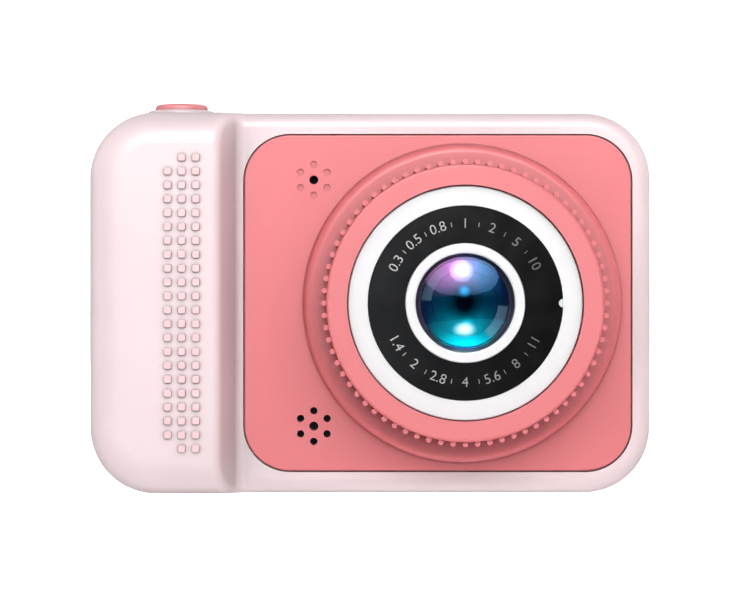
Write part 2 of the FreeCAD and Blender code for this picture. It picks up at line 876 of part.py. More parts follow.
def make_lens_tube():
    """The fixed tube that the ring turns on, with the flange that holds it behind the front."""
    flange_front = INNER_FRONT
    flange_back = f"{INNER_FRONT} + flange_thick"
    blank = on_lens("tube_blank", [
        ("tube_front", "tube_bore"),
        ("tube_front", "tube_radius"),
        (flange_front, "tube_radius"),
        (flange_front, "flange_radius"),
        (flange_back, "flange_radius"),
        (flange_back, "socket_radius"),
        (flange_front, "socket_radius"),
        (flange_front, "tube_bore"),
    ])
    through = (f"{flange_front} - past", f"{flange_back} + past")
    holes = rods("tube_way", LENS_SCREW_SPOTS, "small_screw", through)
    return part("lens_tube", cut("lens_tube", blank, holes))


def make_lens_ring():
    """The ribbed ring round the lens, hollow at the back, which turns on the tube."""
    bore = "tube_radius + ring_running_gap"
    hollow_inner = f"{bore} + ring_skin"
    hollow_outer = "ring_radius - ring_skin"
    front_inner = "ring_front + ring_face"
    body = on_lens("lens_ring", [
        ("ring_front", "ring_counterbore"),
        ("ring_front", "ring_radius"),
        ("ring_back", "ring_radius"),
        ("ring_back", hollow_outer),
        (front_inner, hollow_outer),
        (front_inner, hollow_inner),
        ("ring_back", hollow_inner),
        ("ring_back", bore),
        ("ring_seat", bore),
        ("ring_seat", "ring_counterbore"),
    ], [("ring_front", "ring_radius", "ring_round")])
    sketch = new_sketch(body, "XZ_Plane", "rib_inset - ring_back")
    draw_circle(sketch, "rib_circle", "0", "rib_radius")
    rib = pad(body, sketch, "ring_back - ring_front - rib_setback - rib_inset")
    ribs = body.newObject("PartDesign::PolarPattern", "ring_ribs")
    ribs.Originals = [rib]
    ribs.Axis = (sketch, ["N_Axis"])
    ribs.Angle = 360
    ribs.Occurrences = RIBS
    body.Tip = ribs
    doc.recompute()
    return part("lens_ring", body)


def make_lens_bezel():
    """The white ring that holds the turning ring on, with a key that sets the black disc."""
    edge = "disc_radius + disc_play"
    ring = on_lens("bezel_ring", [
        ("bezel_front", edge),
        ("bezel_front", "bezel_radius"),
        ("tube_front", "bezel_radius"),
        ("tube_front", "skirt_radius"),
        ("skirt_back", "skirt_radius"),
        ("skirt_back", "skirt_bore"),
        ("ledge_back", "skirt_bore"),
        ("ledge_back", f"{edge} - ledge_width"),
        ("disc_back", f"{edge} - ledge_width"),
        ("disc_back", edge),
    ], [("bezel_front", "bezel_radius", "bezel_round")])
    key = rod("bezel_key", "notch_radius - disc_play", f"lens_x + {edge}", LENS_Z,
              ("disc_front", "tube_front"))
    return part("lens_bezel", fused("lens_bezel", [ring, key]))


def make_lens_disc():
    """The black disc between the two white rings, notched for the bezel's key."""
    blank = on_lens("disc_blank", [
        ("disc_front", "trim_radius + disc_play"),
        ("disc_front", "disc_radius"),
        ("disc_back", "disc_radius"),
        ("disc_back", "trim_radius + disc_play"),
    ])
    notch = rod("disc_notch", "notch_radius", "lens_x + disc_radius + disc_play", LENS_Z,
                ("disc_front - past", "disc_back + past"))
    return part("lens_disc", cut("lens_disc", blank, [notch]))


def make_lens_trim_ring():
    """The white ring round the glass."""
    return part("lens_trim_ring", on_lens("lens_trim_ring", [
        ("bezel_front", "dome_radius + disc_play"),
        ("bezel_front", "trim_radius"),
        ("disc_back", "trim_radius"),
        ("disc_back", "trim_radius + trim_flange"),
        ("ledge_back", "trim_radius + trim_flange"),
        ("ledge_back", "dome_radius + disc_play"),
    ], [
        ("bezel_front", "trim_radius", "trim_round"),
        ("bezel_front", "dome_radius + disc_play", "trim_bore_round"),
    ]))


def make_lens_dome():
    """The front glass: a flat-backed disc with a bulging face."""
    rise = "(dome_edge - dome_crest)"
    sphere_radius = f"((dome_radius ^ 2 + {rise} ^ 2) / (2 * {rise}))"
    ball = doc.addObject("Part::Sphere", "dome_ball")
    bind(ball, Radius=sphere_radius)
    place(ball, "lens_x", f"dome_crest + {sphere_radius}", LENS_Z)
    disc = rod("dome_disc", "dome_radius", "lens_x", LENS_Z, ("dome_crest", "ledge_back"))
    return part("lens_dome", overlap("lens_dome", ball, disc))


def make_lens_holder():
    """The black funnel behind the glass, which ends in a socket for the camera module."""
    back_inner = "socket_radius"
    back_outer = "socket_radius + holder_wall"
    return part("lens_holder", on_lens("lens_holder", [
        ("ledge_back", "cone_front_radius"),
        ("ledge_back", "skirt_bore - disc_play"),
        ("holder_back", "skirt_bore - disc_play"),
        ("holder_back", "cone_front_radius + holder_wall"),
        ("cone_back", back_outer),
        ("socket_back", back_outer),
        ("socket_back", back_inner),
        ("cone_back", back_inner),
    ]))


def make_camera_module():
    """The small camera: a barrel with a bevelled mouth on a square base."""
    flange_back = f"({INNER_FRONT} + flange_thick)"
    barrel = on_lens("module_barrel", [
        ("barrel_front", "eye_radius + barrel_bevel"),
        ("barrel_front", "barrel_radius"),
        (flange_back, "barrel_radius"),
        (flange_back, "0"),
        ("barrel_front + 2 * barrel_bevel", "0"),
        ("barrel_front + 2 * barrel_bevel", "eye_radius"),
        ("barrel_front + barrel_bevel", "eye_radius"),
    ])
    base = block("module_base", about("lens_x", "module_side / 2"), (flange_back, "module_back"),
                 about(LENS_Z, "module_side / 2"))
    part("camera_module", fused("camera_module", [barrel, base]))
    mouth = "barrel_front + barrel_bevel"
    ball = doc.addObject("Part::Sphere", "eye_ball")
    bind(ball, Radius="eye_curve")
    place(ball, "lens_x", f"{mouth} - eye_proud + eye_curve", LENS_Z)
    disc = rod("eye_disc", "eye_radius", "lens_x", LENS_Z, (f"{mouth} - past", f"{mouth} + barrel_bevel"))
    part("module_lens", overlap("module_lens", ball, disc))


def make_sensor_board():
    """The little board that carries the camera module, and the flat cable from it."""
    half = "sensor_side / 2"
    back = "(module_back + sensor_thick)"
    part("sensor_board", block("sensor_board", about("lens_x", half), ("module_back", back),
                               about(LENS_Z, half)))
    floor = f"({LENS_Z} - {half} - flex_drop)"
    part("sensor_flex", flat_cable("sensor_flex", "lens_x", f"{LENS_Z} - {half} / 2", floor,
                                   (back, f"{back} + flex_thick", "board_front")))


def flat_cable(name, x, top, floor, levels):
    """A ribbon bent once: down a face, whose two levels of y come first, then along Y to its end."""
    face, inner, end = levels
    body = new_body(name)
    sketch = new_sketch(body, "YZ_Plane", "-flex_width / 2")
    draw_polygon(sketch, [
        (face, top),
        (face, f"{floor} - flex_thick"),
        (end, f"{floor} - flex_thick"),
        (end, floor),
        (inner, floor),
        (inner, top),
    ])
    pad(body, sketch, "flex_width")
    return place(body, x=x)


# ---- Shutter button ----

def make_shutter():
    """The button on the top, its collar, and the switch on a shelf below it."""
    bore = "shutter_radius + shutter_gap"
    inner_top = "body_height - wall"
    part("shutter_collar", upright("shutter_collar", [
        ("collar_top", bore),
        ("collar_top", "collar_radius"),
        ("body_height", "collar_radius"),
        ("body_height", "collar_neck"),
        (inner_top, "collar_neck"),
        (inner_top, bore),
    ], "shutter_x", "shutter_y", [("collar_top", "collar_radius", "collar_round")]))
    rim_top = f"{inner_top} - key_play"
    rim_low = f"{rim_top} - shutter_flange"
    part("shutter_button", upright("shutter_button", [
        ("shutter_top", "0"),
        ("shutter_top", "shutter_radius"),
        (rim_top, "shutter_radius"),
        (rim_top, "collar_neck - key_play"),
        (rim_low, "collar_neck - key_play"),
        (rim_low, "plunger_radius"),
        (f"{SHUTTER_CONTACT} + key_play + shutter_travel", "plunger_radius"),
        (f"{SHUTTER_CONTACT} + key_play + shutter_travel", "0"),
    ], "shutter_x", "shutter_y", [("shutter_top", "shutter_radius", "cap_round")]))
    board_top = "shelf_top + board_thick"
    part("shutter_board", block("shutter_board", about("shutter_x", "shelf_half"),
                                about("shutter_y", "shelf_half"), ("shelf_top", board_top)))
    case = block("shutter_switch_case", about("shutter_x", "switch_side / 2"),
                 about("shutter_y", "switch_side / 2"), (board_top, f"{board_top} + switch_height"))
    plunger = pin("shutter_plunger", "plunger_radius", "shutter_x", "shutter_y",
                  (f"{board_top} + switch_height", SHUTTER_CONTACT))
    part("shutter_switch", fused("shutter_switch", [case, plunger]))


# ---- Screen and keys on the back ----

def make_screen():
    """The display, its flat cable and the clear window over it."""
    half_width = "lcd_width / 2"
    half_height = "lcd_height / 2"
    panel_front = f"({REAR_INNER} - lcd_thick)"
    part("lcd_panel", block("lcd_panel", about("screen_x", half_width), (panel_front, REAR_INNER),
                            about(MID_Z, half_height)))
    part("lcd_flex", flat_cable("lcd_flex", "screen_x", f"{MID_Z} - {half_height} + flex_drop",
                                f"({MID_Z} - {half_height} - flex_gap)",
                                (panel_front, f"{panel_front} - flex_thick", BOARD_BACK)))
    part("screen_window", slab("screen_window", about("screen_x", "window_width / 2"),
                               ("rear - window_thick", "rear"), about(MID_Z, "window_height / 2"),
                               "window_corner"))


def make_keys():
    """Each key is a cap with a rim behind the wall and a stem over its switch."""
    rim_back = f"{REAR_INNER} - key_play"
    for name, (x, z, radius) in KEYS.items():
        part(name, turned(name, [
            ("key_top", "0"),
            ("key_top", radius),
            (rim_back, radius),
            (rim_back, f"{radius} + key_rim"),
            (f"{rim_back} - key_rim_thick", f"{radius} + key_rim"),
            (f"{rim_back} - key_rim_thick", "plunger_radius"),
            (f"{rim_back} - key_rim_thick - key_stem", "plunger_radius"),
            (f"{rim_back} - key_rim_thick - key_stem", "0"),
        ], x, z, [("key_top", radius, "key_round")]))


def make_key_board():
    """The board behind the keys, with one push switch for each of them."""
    board = block("key_board_blank", ("key_board_left", "key_board_right"),
                  (f"{KEY_BOARD_BACK} - board_thick", KEY_BOARD_BACK), ("key_board_low", "key_board_high"))
    holes = rods("key_board_hole", KEY_BOARD_SPOTS, "small_screw", (f"{KEY_BOARD_BACK} - wall", "rear"))
    part("key_board", cut("key_board", board, holes))
    half = "switch_side / 2"
    case = block("switch_case", about("0", half), (KEY_BOARD_BACK, f"{KEY_BOARD_BACK} + switch_height"),
                 about("0", half))
    plunger = rod("switch_plunger", "plunger_radius", "0", "0",
                  (f"{KEY_BOARD_BACK} + switch_height", KEY_CONTACT))
    switch = fused("one_switch", [case, plunger])
    doc.recompute()
    spots = [(x, z) for x, z, radius in KEYS.values()]
    part("key_switches", repeated("key_switches", switch.Shape, spots))


# ---- Main board, sockets and card ----

def make_main_board():
    """The main board, with a tab that reaches the +X side, and the two largest chips on it."""
    body = new_body("board_blank")
    sketch = new_sketch(body, "XZ_Plane", f"-{BOARD_BACK}")
    draw_polygon(sketch, [
        ("board_left", "board_low"),
        ("board_right", "board_low"),
        ("board_right", "tab_low"),
        ("tab_right", "tab_low"),
        ("tab_right", "tab_high"),
        ("board_right", "tab_high"),
        ("board_right", "board_high"),
        ("board_left", "board_high"),
    ])
    pad(body, sketch, "board_thick")
    holes = rods("board_hole", BOARD_SCREW_SPOTS, "small_screw", ("board_front - past", "rear"))
    part("main_board", cut("main_board", body, holes))
    chip_depth = ("board_front - chip_thick", "board_front")
    part("processor", block("processor", about("chip_x", "chip_side / 2"), chip_depth,
                            about("chip_z", "chip_side / 2")))
    part("memory_chip", block("memory_chip", about("memory_x", "memory_width / 2"), chip_depth,
                              about("chip_z", "memory_height / 2")))


def make_usb_port():
    """The charging socket: a rounded metal shell with a tongue inside."""
    mouth = "(body_width / 2 - wall / 2)"
    across = (f"{mouth} - usb_length", mouth)
    middle = "(board_front - usb_height / 2)"
    case = bar("usb_case", across, about(middle, "usb_height / 2"), about("usb_z", "usb_width / 2"),
               "usb_height / 2 - usb_edge")
    floor = f"{mouth} - usb_length + usb_floor"
    hollow = bar("usb_hollow", (floor, f"{mouth} + past"),
                 about(middle, "usb_height / 2 - usb_shell"), about("usb_z", "usb_width / 2 - usb_shell"),
                 "usb_height / 2 - usb_shell - usb_edge")
    tongue = block("usb_tongue_block", (floor, f"{mouth} - usb_floor"),
                   about(middle, "usb_tongue / 2"), about("usb_z", "usb_tongue_width / 2"))
    part("usb_port", fused("usb_port", [cut("usb_open", case, [hollow]), tongue]))


def make_card():
    """The memory card, and the thin metal socket that it slides out of."""
    inner = "(card_outer - card_length)"
    body = new_body("sd_card")
    sketch = new_sketch(body, "XZ_Plane", "-(card_y + card_thick / 2)")
    low = "(card_z - card_width / 2)"
    high = "(card_z + card_width / 2)"
    draw_polygon(sketch, [
        (inner, low),
        ("card_outer", low),
        ("card_outer", high),
        (f"{inner} + card_shoulder + card_slant", high),
        (f"{inner} + card_shoulder", f"{high} - card_step"),
        (inner, f"{high} - card_step"),
    ])
    pad(body, sketch, "card_thick")
    part("sd_card", body)
    half_y = "card_thick / 2 + card_gap"
    half_z = "card_width / 2 + card_gap"
    deep = f"{inner} - card_push - card_gap"
    mouth = "(body_width / 2 - wall - card_gap)"
    case = block(
        "socket_case",
        (f"{deep} - card_push", mouth),
        about("card_y", f"{half_y} + card_socket_wall"),
        about("card_z", f"{half_z} + card_socket_wall"),
    )
    slot = block("socket_slot", (deep, f"{mouth} + past"), about("card_y", half_y), about("card_z", half_z))
    part("sd_socket", cut("sd_socket", case, [slot]))


# ---- Battery, sound and leads ----

def make_battery():
    part("battery", slab("battery", ("battery_left", "battery_right"),
                         ("grip_front + wall", "grip_front + wall + battery_thick"),
                         ("battery_low", "battery_high"), "battery_corner", "battery_round"))


def make_sound():
    """The loudspeaker low beside the lens, and the microphone in a soft boot above it."""
    speaker_back = f"({INNER_FRONT} + speaker_depth)"
    part("speaker", turned("speaker", [
        (INNER_FRONT, "0"),
        (INNER_FRONT, "speaker_radius"),
        (f"{INNER_FRONT} + speaker_rim", "speaker_radius"),
        (f"{INNER_FRONT} + speaker_rim", "speaker_magnet"),
        (speaker_back, "speaker_magnet"),
        (speaker_back, "0"),
    ], "port_x", f"{MID_Z} - port_rise"))
    capsule_front = f"({INNER_FRONT} + boot_wall)"
    capsule_back = f"({INNER_FRONT} + boot_wall + mic_depth)"
    part("microphone", rod("microphone", "mic_radius", "port_x", f"{MID_Z} + port_rise",
                           (capsule_front, capsule_back)))
    part("microphone_boot", turned("microphone_boot", [
        (INNER_FRONT, "port_centre_hole"),
        (INNER_FRONT, "mic_radius + boot_wall"),
        (capsule_back, "mic_radius + boot_wall"),
        (capsule_back, "mic_radius"),
        (capsule_front, "mic_radius"),
        (capsule_front, "port_centre_hole"),
    ], "port_x", f"{MID_Z} + port_rise"))


def lead_solid(route):
    """A round lead along straight runs joined by tangent arcs, through points given as expressions."""
    points = [FreeCAD.Vector(*(value(text) for text in point)) for point in route]
    edges = []
    here = points[0]
    for before, corner, after in zip(points, points[1:], points[2:]):
        back, ahead = (before - corner), (after - corner)
        reach = BEND_SHARE * min(back.Length, ahead.Length)
        enter = corner + back.normalize() * reach
        leave = corner + ahead.normalize() * reach
        half_turn = back.getAngle(ahead) / 2
        to_middle = (back + ahead).normalize() * (reach / math.cos(half_turn) * (1 - math.sin(half_turn)))
        edges.append(Part.makeLine(here, enter))
        edges.append(Part.Arc(enter, corner + to_middle, leave).toShape())
        here = leave
    edges.append(Part.makeLine(here, points[-1]))
    start = points[1] - points[0]
    section = Part.Wire(Part.makeCircle(value("lead_radius"), points[0], start))
    return Part.Wire(edges).makePipeShell([section], True, False)


def battery_lead(name, shift):
    """A lead that rises out of the battery, crosses behind the front and ends on the main board."""
    level = "battery_high + lead_rise"
    middle = "grip_front + wall + battery_thick / 2"
    rise_x = f"battery_right - lead_inset {shift}"
    land_x = f"board_left + lead_landing {shift}"
    lead = doc.addObject("Part::Feature", name)
    lead.Shape = lead_solid([
        (rise_x, middle, "battery_high"),
        (rise_x, middle, level),
        (f"foot_x + lead_landing {shift}", "board_front - 2 * lead_run", level),
        (land_x, "board_front - lead_run", level),
        (land_x, "board_front", level),
    ])
    return part(name, lead)


def speaker_lead(shift):
    """The shape of a lead from the back of the loudspeaker to the main board."""
    x = f"port_x {shift}"
    low = f"{MID_Z} - port_rise"
    high = f"{low} + lead_run"
    back = f"{INNER_FRONT} + speaker_depth"
    return lead_solid([
        (x, back, low),
        (x, f"{back} + lead_run", low),
        (x, "board_front - lead_landing", high),
        (x, "board_front", high),
    ])


def make_leads():
    """Short leads inside the casing, from the battery and the loudspeaker to the main board."""
    battery_lead("battery_lead_black", "- lead_apart")
    battery_lead("battery_lead_red", "+ lead_apart")
    leads = doc.addObject("Part::Feature", "speaker_leads")
    leads.Shape = Part.makeCompound([speaker_lead(f"{sign} speaker_lead_apart") for sign in "-+"])
    part("speaker_leads", leads)


# ---- Screws ----

def screw_shape(name, radius, head_radius, seat, tip, head_end):
    """The shape of a screw on the Y axis with a cross recess in its head."""
    shank = rod(f"{name}_shank", radius, "0", "0", ordered(seat, tip))
    head = rod(f"{name}_head", head_radius, "0", "0", ordered(seat, head_end))
    inward = "-" if value(head_end) > value(seat) else "+"
    recess = ordered(head_end, f"{head_end} {inward} drive_depth")
    long_side = about("0", f"{head_radius} * drive_share")
    short_side = about("0", "drive_width / 2")
    slots = [
        block(f"{name}_slot_across", long_side, recess, short_side),
        block(f"{name}_slot_up", short_side, recess, long_side),
    ]
    screw = cut(name, fused(f"{name}_solid", [shank, head]), slots)
    doc.recompute()
    return screw.Shape


def make_screws():
    """The screws that hold the casing, the boards and the lens unit together."""
    seat = "rear - screw_sink"
    shape = screw_shape("one_case_screw", "screw_radius", "screw_head", seat,
                        "parting - screw_reach + screw_tip_gap", f"{seat} + screw_head_thick")
    part("case_screws", repeated("case_screws", shape, CASE_SCREW_SPOTS))
    small_screws = {
        "board_screws": (BOARD_SCREW_SPOTS, "board_front", "-", REAR_INNER),
        "key_board_screws": (KEY_BOARD_SPOTS, f"{KEY_BOARD_BACK} - board_thick", "-", REAR_INNER),
        "lens_screws": (LENS_SCREW_SPOTS, f"{INNER_FRONT} + flange_thick", "+", "base_front"),
    }
    for name, (spots, seat, outward, end) in small_screws.items():
        shape = screw_shape(f"one_{name}", "small_screw", "small_head", seat,
                            f"{end} {outward} small_screw_short", f"{seat} {outward} small_head_thick")
        part(name, repeated(name, shape, spots))


# ---- Whole camera ----

def make_camera():
    outer = casing_form("outer_form", "0")
    inner = casing_form("inner_form", "wall")
    seam = casing_form("seam_form", "seam_depth")
    make_front_shell(outer, inner)
    make_rear_shell(outer, inner, seam)
    make_faceplate()
    make_grip_studs()
    make_strap_bar()
    make_lens_base()
    make_lens_tube()
    make_lens_ring()
    make_lens_bezel()
    make_lens_disc()
    make_lens_trim_ring()
    make_lens_dome()
    make_lens_holder()
    make_camera_module()
    make_sensor_board()
    make_shutter()
    make_screen()
    make_keys()
    make_key_board()
    make_main_board()
    make_usb_port()
    make_card()
    make_battery()
    make_sound()
    make_leads()
    make_screws()


def check_camera():
    """Stop if any object of the document failed, or any sub-part is empty or not valid."""
    doc.recompute()
    failed = [item.Name for item in doc.Objects if {"Invalid", "Error"} & set(item.State)]
    if failed:
        raise ValueError(f"failed objects: {failed}")
    for item in parts:
        if item.Shape.isNull() or not item.Shape.isValid():
            raise ValueError(f"{item.Label} has no valid shape")


def write_parts():
    os.makedirs("parts", exist_ok=True)
    for item in parts:
        item.Shape.exportStep(f"parts/{item.Label}.step")
        print(f"{item.Label}: {len(item.Shape.Solids)} solid(s), {item.Shape.Volume:.1f} mm3")


fill_sheet()
make_camera()
check_camera()
write_parts()
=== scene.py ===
"""The looks of a children's digital camera: materials, lens coatings, printed marks and a photo studio."""

import math

import bmesh
import bpy
from mathutils import Matrix, Vector


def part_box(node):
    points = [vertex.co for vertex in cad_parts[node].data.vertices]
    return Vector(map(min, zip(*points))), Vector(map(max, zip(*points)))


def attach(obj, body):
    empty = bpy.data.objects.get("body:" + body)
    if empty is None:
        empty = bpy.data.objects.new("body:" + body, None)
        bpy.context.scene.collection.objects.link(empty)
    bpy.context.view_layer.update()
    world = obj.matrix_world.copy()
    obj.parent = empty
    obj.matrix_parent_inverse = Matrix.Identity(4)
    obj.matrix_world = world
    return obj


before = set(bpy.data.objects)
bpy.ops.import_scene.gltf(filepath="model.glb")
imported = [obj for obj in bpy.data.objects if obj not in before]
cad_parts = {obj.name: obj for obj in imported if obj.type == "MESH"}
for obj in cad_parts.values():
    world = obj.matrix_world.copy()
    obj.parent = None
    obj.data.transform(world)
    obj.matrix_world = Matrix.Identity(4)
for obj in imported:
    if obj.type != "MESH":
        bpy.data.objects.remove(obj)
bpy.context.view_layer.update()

MM = 0.001

KEYS = ("up_key", "down_key", "left_key", "right_key", "ok_key", "power_key", "menu_key", "play_key")

# Base colours of the mouldings, as linear red, green and blue
PALE_PINK = (0.94, 0.8, 0.82)
STUD_PINK = (0.93, 0.67, 0.69)
# The studs' sides are painted greyer, a painted shade
STUD_SIDE_SHADE = (0.62, 0.47, 0.5)
CORAL = (0.88, 0.29, 0.31)
BUTTON_CORAL = (0.9, 0.37, 0.39)
WHITE = (0.95, 0.94, 0.95)
BLACK = (0.018, 0.018, 0.02)

# The mouldings are painted darker in corners up to this wide, a painted shade for the soft shade that
# falls there, and most where a point sees no more than this share of its surroundings
CORNER_REACH = 14 * MM
CORNER_SIGHT = 0.5
OWN_CORNER_SIGHT = 0.7

# The marks of the lens coating, painted reflections, highlights and a painted pupil shade among them, as
# shares of the glass's radius from its middle
CIRCLE_RADIUS = 0.62
PANE_INNER = 0.62
PANE_OUTER = 0.86
RIM_RADIUS = 0.85
BLUE_HIGHLIGHT_HEIGHT = 0.23
BLUE_HIGHLIGHT_RADIUS = 0.15
PALE_HIGHLIGHT_HEIGHT = -0.5
PALE_HIGHLIGHT_HALF_WIDTH = 0.26
PALE_HIGHLIGHT_HALF_HEIGHT = 0.17


# ---- Node helpers ----

class Nodes:
    """Short ways to add nodes to one material's tree."""

    def __init__(self, name):
        self.material = bpy.data.materials.new(name)
        self.material.use_nodes = True
        self.tree = self.material.node_tree
        self.shader = self.tree.nodes["Principled BSDF"]
        self.place = self.add("ShaderNodeTexCoord").outputs["Object"]

    def add(self, kind, **settings):
        node = self.tree.nodes.new(kind)
        for name, value in settings.items():
            setattr(node, name, value)
        return node

    def link(self, source, target):
        self.tree.links.new(source, target)

    def feed(self, socket, value):
        """Connect a socket's source, or set a plain value."""
        if isinstance(value, bpy.types.NodeSocket):
            self.link(value, socket)
        else:
            socket.default_value = value

    def plain(self, **values):
        """Set constants on the shader's own sockets; an underscore stands for a space."""
        for name, value in values.items():
            self.shader.inputs[name.replace("_", " ")].default_value = value

    def math(self, operation, first, second=0.0):
        node = self.add("ShaderNodeMath", operation=operation)
        self.feed(node.inputs[0], first)
        self.feed(node.inputs[1], second)
        return node.outputs[0]

    def stretched(self, x, y, z):
        """The object's coordinates, each multiplied by a factor."""
        node = self.add("ShaderNodeMapping")
        node.inputs["Scale"].default_value = (x, y, z)
        self.link(self.place, node.inputs["Vector"])
        return node.outputs[0]

    def noise(self, grain, detail=2.0, place=None):
        """A value between 0 and 1 that wanders over about one grain, in metres."""
        node = self.add("ShaderNodeTexNoise")
        node.inputs["Scale"].default_value = 1 / grain
        node.inputs["Detail"].default_value = detail
        self.link(place or self.place, node.inputs["Vector"])
        return node.outputs["Fac"]

    def spread(self, source, low, high, start=0.3, end=0.7):
        """A value scaled from start..end to low..high, and held there outside."""
        node = self.add("ShaderNodeMapRange")
        for name, value in (("From Min", start), ("From Max", end), ("To Min", low), ("To Max", high)):
            node.inputs[name].default_value = value
        self.link(source, node.inputs["Value"])
        return node.outputs["Result"]

    def within(self, value, low, high, soft):
        """1 where a value lies between two limits, with a soft edge inside each."""
        rising = self.spread(value, 0, 1, low, low + soft)
        falling = self.spread(value, 1, 0, high - soft, high)
        return self.math("MULTIPLY", rising, falling)

    def length(self, first, second):
        """The length of a line that goes so far one way and so far the other."""
        first_square = self.math("MULTIPLY", first, first)
        second_square = self.math("MULTIPLY", second, second)
        return self.math("SQRT", self.math("ADD", first_square, second_square))

    def mix(self, share, first, second):
        """A blend of two colours."""
        node = self.add("ShaderNodeMix", data_type="RGBA")
        first_input, second_input, result = node.inputs[6], node.inputs[7], node.outputs[2]
        self.feed(node.inputs["Factor"], share)
        for socket, colour in ((first_input, first), (second_input, second)):
            self.feed(socket, colour if isinstance(colour, bpy.types.NodeSocket) else (*colour, 1))
        return result

    def ramp(self, source, stops):
        """Colours along a value, from (position, colour) pairs."""
        node = self.add("ShaderNodeValToRGB")
        points = node.color_ramp.elements
        while len(points) < len(stops):
            points.new(0.5)
        for point, (position, colour) in zip(points, stops):
            point.position = position
            point.color = (*colour, 1)
        self.link(source, node.inputs["Fac"])
        return node.outputs["Color"]

    def apart(self, place=None):
        """The x, y and z of the object's coordinates."""
        node = self.add("ShaderNodeSeparateXYZ")
        self.link(place or self.place, node.inputs[0])
        return node.outputs[0], node.outputs[1], node.outputs[2]

    def bump(self, height, depth):
        """Let a height between 0 and 1 stand for a depth in metres."""
        node = self.add("ShaderNodeBump")
        node.inputs["Strength"].default_value = 1.0
        node.inputs["Distance"].default_value = depth
        self.link(height, node.inputs["Height"])
        self.link(node.outputs["Normal"], self.shader.inputs["Normal"])

    def colour(self, source):
        self.link(source, self.shader.inputs["Base Color"])

    def roughness(self, source):
        self.link(source, self.shader.inputs["Roughness"])

    def tint(self, source):
        """The colour of what a coating reflects."""
        self.link(source, self.shader.inputs["Specular Tint"])

    def occlusion(self, reach, alone):
        """How much of its surroundings a point sees, with or without the other pieces."""
        node = self.add("ShaderNodeAmbientOcclusion", samples=8, only_local=alone)
        node.inputs["Distance"].default_value = reach
        return node.outputs["AO"]

    def openness(self, reach, own):
        """0 in corners and 1 on open faces; a piece's own corners count for more if asked."""
        seen = self.occlusion(reach, False)
        if not own:
            return self.spread(seen, 0, 1, CORNER_SIGHT, 1)
        both = self.math("ADD", seen, self.occlusion(reach, True))
        return self.spread(both, 0, 1, 2 * OWN_CORNER_SIGHT, 2)


def shade(colour, factor):
    return tuple(min(1.0, part * factor) for part in colour)


# ---- Materials ----

def moulded(name, colour, rough, shine=0.5, grain=0.25 * MM, depth=0.004 * MM, drift=0.03,
            corners=0.85, own_corners=False):
    """Moulded plastic: faint flow marks, fine tool grain, an uneven satin and a painted shade in corners.
    """
    nodes = Nodes(name)
    flow = nodes.spread(nodes.noise(22 * MM, 3.0), 0, 1)
    unshaded = nodes.mix(flow, shade(colour, 1 - drift), shade(colour, 1 + drift))
    # Painted shade: the colour turns darker and greyer in corners, where a point sees little of its
    # surroundings
    red, green, blue = shade(colour, corners)
    corner_shade_colour = (0.9 * red, green, blue)
    nodes.colour(nodes.mix(nodes.openness(CORNER_REACH, own_corners), corner_shade_colour, unshaded))
    satin = nodes.noise(3 * MM, 4.0)
    nodes.roughness(nodes.spread(satin, rough * 0.88, rough * 1.12))
    nodes.bump(nodes.noise(grain, 3.0), depth)
    nodes.plain(Specular_IOR_Level=shine)
    return nodes


def brushed(name, colour, rough, along=(1, 1, 12)):
    """Metal with fine drawing lines, long in the direction with the small factor."""
    nodes = Nodes(name)
    lines = nodes.noise(0.4 * MM, 4.0, nodes.stretched(*along))
    nodes.colour(nodes.mix(nodes.spread(lines, 0, 1), shade(colour, 0.82), shade(colour, 1.08)))
    nodes.roughness(nodes.spread(lines, rough * 0.75, rough * 1.3))
    nodes.bump(lines, 0.005 * MM)
    nodes.plain(Metallic=1.0)
    return nodes


def shell_plastic():
    # Painted shade: the casing is darkened strongly in corners, its own corners counting most
    nodes = moulded("shell_plastic", PALE_PINK, 0.4, shine=0.25, corners=0.56, own_corners=True)
    return nodes.material


def coral_plastic():
    # Painted shade in the coral's corners, lighter than the casing's
    return moulded("coral_plastic", CORAL, 0.42, shine=0.25, drift=0.02, corners=0.84).material


def button_plastic():
    """The shutter button's coral, a little paler than the faceplate's."""
    return moulded("button_plastic", BUTTON_CORAL, 0.36, shine=0.3, drift=0.04).material


def stud_plastic():
    """Soft studs: pale pink on top, with a painted shade that greys them down their sides."""
    nodes = moulded("stud_plastic", STUD_PINK, 0.55, grain=0.12 * MM, depth=0.008 * MM)
    face = nodes.add("ShaderNodeTexCoord").outputs["Normal"]
    across, depth, up = nodes.apart(face)
    # Painted shade: sides turned away from the front take the greyer colour
    top = nodes.spread(nodes.math("ABSOLUTE", depth), 0, 1, 0.55, 0.98)
    flow = nodes.mix(nodes.noise(4 * MM), shade(STUD_PINK, 0.97), shade(STUD_PINK, 1.03))
    nodes.colour(nodes.mix(top, STUD_SIDE_SHADE, flow))
    return nodes.material


def white_plastic():
    return moulded("white_plastic", WHITE, 0.22, grain=0.5 * MM, depth=0.002 * MM, drift=0.012).material


def black_plastic():
    nodes = moulded("black_plastic", BLACK, 0.5, grain=0.15 * MM, depth=0.01 * MM, drift=0.2)
    return nodes.material


def across_disc(nodes):
    """0 at the left of the black disc and 1 at its right."""
    low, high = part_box("lens_disc")
    across, depth, up = nodes.apart()
    return nodes.spread(across, 0, 1, low.x, high.x)


def disc_black():
    """Printed black disc: a painted sheen that fades from its left side to its right."""
    nodes = Nodes("disc_black")
    # Painted sheen: lighter at the left of the disc and darker at its right
    colour = nodes.ramp(across_disc(nodes), [
        (0.0, (0.03, 0.032, 0.034)),
        (0.5, (0.014, 0.014, 0.016)),
        (1.0, (0.004, 0.004, 0.005)),
    ])
    grain = nodes.noise(0.12 * MM, 3.0)
    nodes.colour(nodes.mix(nodes.spread(grain, 0, 0.12), colour, (0.05, 0.05, 0.055)))
    nodes.roughness(nodes.spread(nodes.noise(4 * MM), 0.18, 0.26))
    nodes.bump(grain, 0.002 * MM)
    nodes.plain(Specular_IOR_Level=0.2)
    return nodes.material


